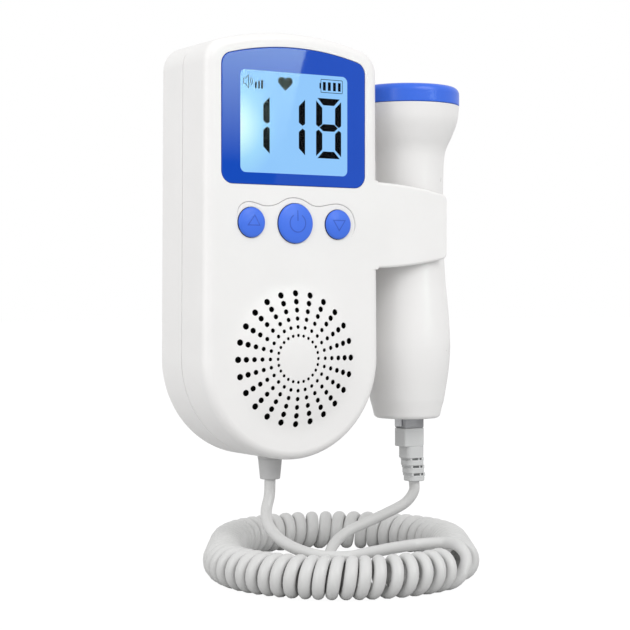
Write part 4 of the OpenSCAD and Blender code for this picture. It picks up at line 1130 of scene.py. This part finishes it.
cap = Skin()
top = HEAD_Z + CAP_H
cap_profile = [(HEAD_R - by, HEAD_Z + up) for by, up in (
    (0.5, 0.02), (0.2, 0.04), (0.06, 0.12), (0, 0.3), (0, 1.2), (0, 2.4))] + [(HEAD_R, top - 2.7)]
cap_profile += [(HEAD_R - 2.5 * (1 - cos(a)), top - 2.5 * (1 - sin(a))) for a in np.linspace(0, pi / 2, 14)]
cap_profile += [(HEAD_R - 2.7, top), (12, top), (7, top), (2, top), (0.01, top)]
turned(cap, cap_profile, (PROBE_X, PROBE_Y, 0), "z")
settle(cap.build("probe_face_cap", cap_blue), "probe", "cap_blue", "probe_cap")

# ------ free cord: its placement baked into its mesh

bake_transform(free_cord)

# ------ CAD nodes left showing

guide = plastic("light guide", (236, 240, 246), 0.12, vary=0.01)
FINISHES = (
    (foam, "display_gasket", "speaker_gasket"), (display_lit, "display_glass"), (guide, "display_light"),
    (board, "main_board", "probe_board"), (moulded_black, "board_parts", "button_switches", "probe_socket"),
    (steel, "board_screws", "case_screws", "battery_contacts"), (cloth, "speaker_cloth"),
    (basket, "speaker_frame"), (cone_paper, "speaker_cone"), (ferrite, "speaker_magnet"),
    (sleeve, "battery_cells"), (gold, "plug_contacts"), (ceramic, "probe_crystals"), (resin, "probe_backing"),
)
for finish, *names in FINISHES:
    for name in names:
        for place in nodes[name].material_slots:
            place.material = finish

# ------ floor, backdrop and light

ground = Nodes("floor")
feed(ground.shader, {"Base Color": (0.55, 0.55, 0.55, 1), "Roughness": 0.9, "Specular IOR Level": 0.1})
pale = ground.node("ShaderNodeEmission", {"Strength": 1.12})
share = ground.maths("MULTIPLY", seen_directly(ground.tree), 0.86)
FLOOR_HALF = 6000
around = [(x * FLOOR_HALF, y * FLOOR_HALF, FLOOR_Z) for x, y in ((-1, -1), (1, -1), (1, 1), (-1, 1))]
floor = plain("floor", around, [(0, 1, 2, 3)], ground.show(ground.mix(share, ground.shader, pale)))

world = bpy.data.worlds.new("studio")
world.use_nodes = True
bpy.context.scene.world = world
tree = world.node_tree
level = new_node(tree, "ShaderNodeMapRange", {"Value": seen_directly(tree), "To Min": 0.83, "To Max": 1.0})
feed(tree.nodes["Background"], {"Color": (1, 1, 1, 1), "Strength": level.outputs["Result"]})

def lamp(name, place, target, size, power):
    data = bpy.data.lights.new(name, "AREA")
    data.shape, data.size, data.size_y, data.energy = "RECTANGLE", size[0], size[1], power
    aim(link(bpy.data.objects.new(name, data)), place, Vector(target) - Vector(place))


lamp("key", (0.25, -1.1, 0.85), (0, 0, 0.02), (0.8, 0.8), 7.0)
lamp("side fill", (-1.1, -0.2, 0.35), (0, 0, 0.02), (0.9, 0.9), 4.2)

# A card of light far in front of the window; only its reflection shows, as the glare across the panel
CARD_Y = -1200.0
card_reach = (-UNIT_D - CARD_Y) / (-UNIT_D - CAMERA_AT.y / MM)


def mirrored(x, z):
    """Where the line from the camera to a point of the window goes on to after its reflection."""
    return (x + card_reach * (x - CAMERA_AT.x / MM), CARD_Y, z + card_reach * (z - CAMERA_AT.z / MM))


corners = [mirrored(-60, 50), mirrored(-9.4, 50), mirrored(6.2, 107), mirrored(8.8, 117), mirrored(-60, 117)]
sheen = Nodes("glare card")
up = sheen.node("ShaderNodeSeparateXYZ", {"Vector": sheen.where}).outputs["Z"]
level = sheen.remap(up, 0.0, 1.0, mirrored(0, 62)[2] * MM, mirrored(0, 98)[2] * MM)
bright = sheen.maths("MULTIPLY", level, 15.0)
shine = sheen.node("ShaderNodeEmission", {"Color": (0.76, 0.97, 0.86, 1), "Strength": bright})
glossy = sheen.node("ShaderNodeLightPath").outputs["Is Glossy Ray"]
shown = sheen.show(sheen.mix(glossy, sheen.node("ShaderNodeBsdfTransparent"), shine))
card = plain("glare_card", corners, [(0, 1, 2, 3, 4)], shown)

bpy.context.scene.view_settings.view_transform = "Standard"
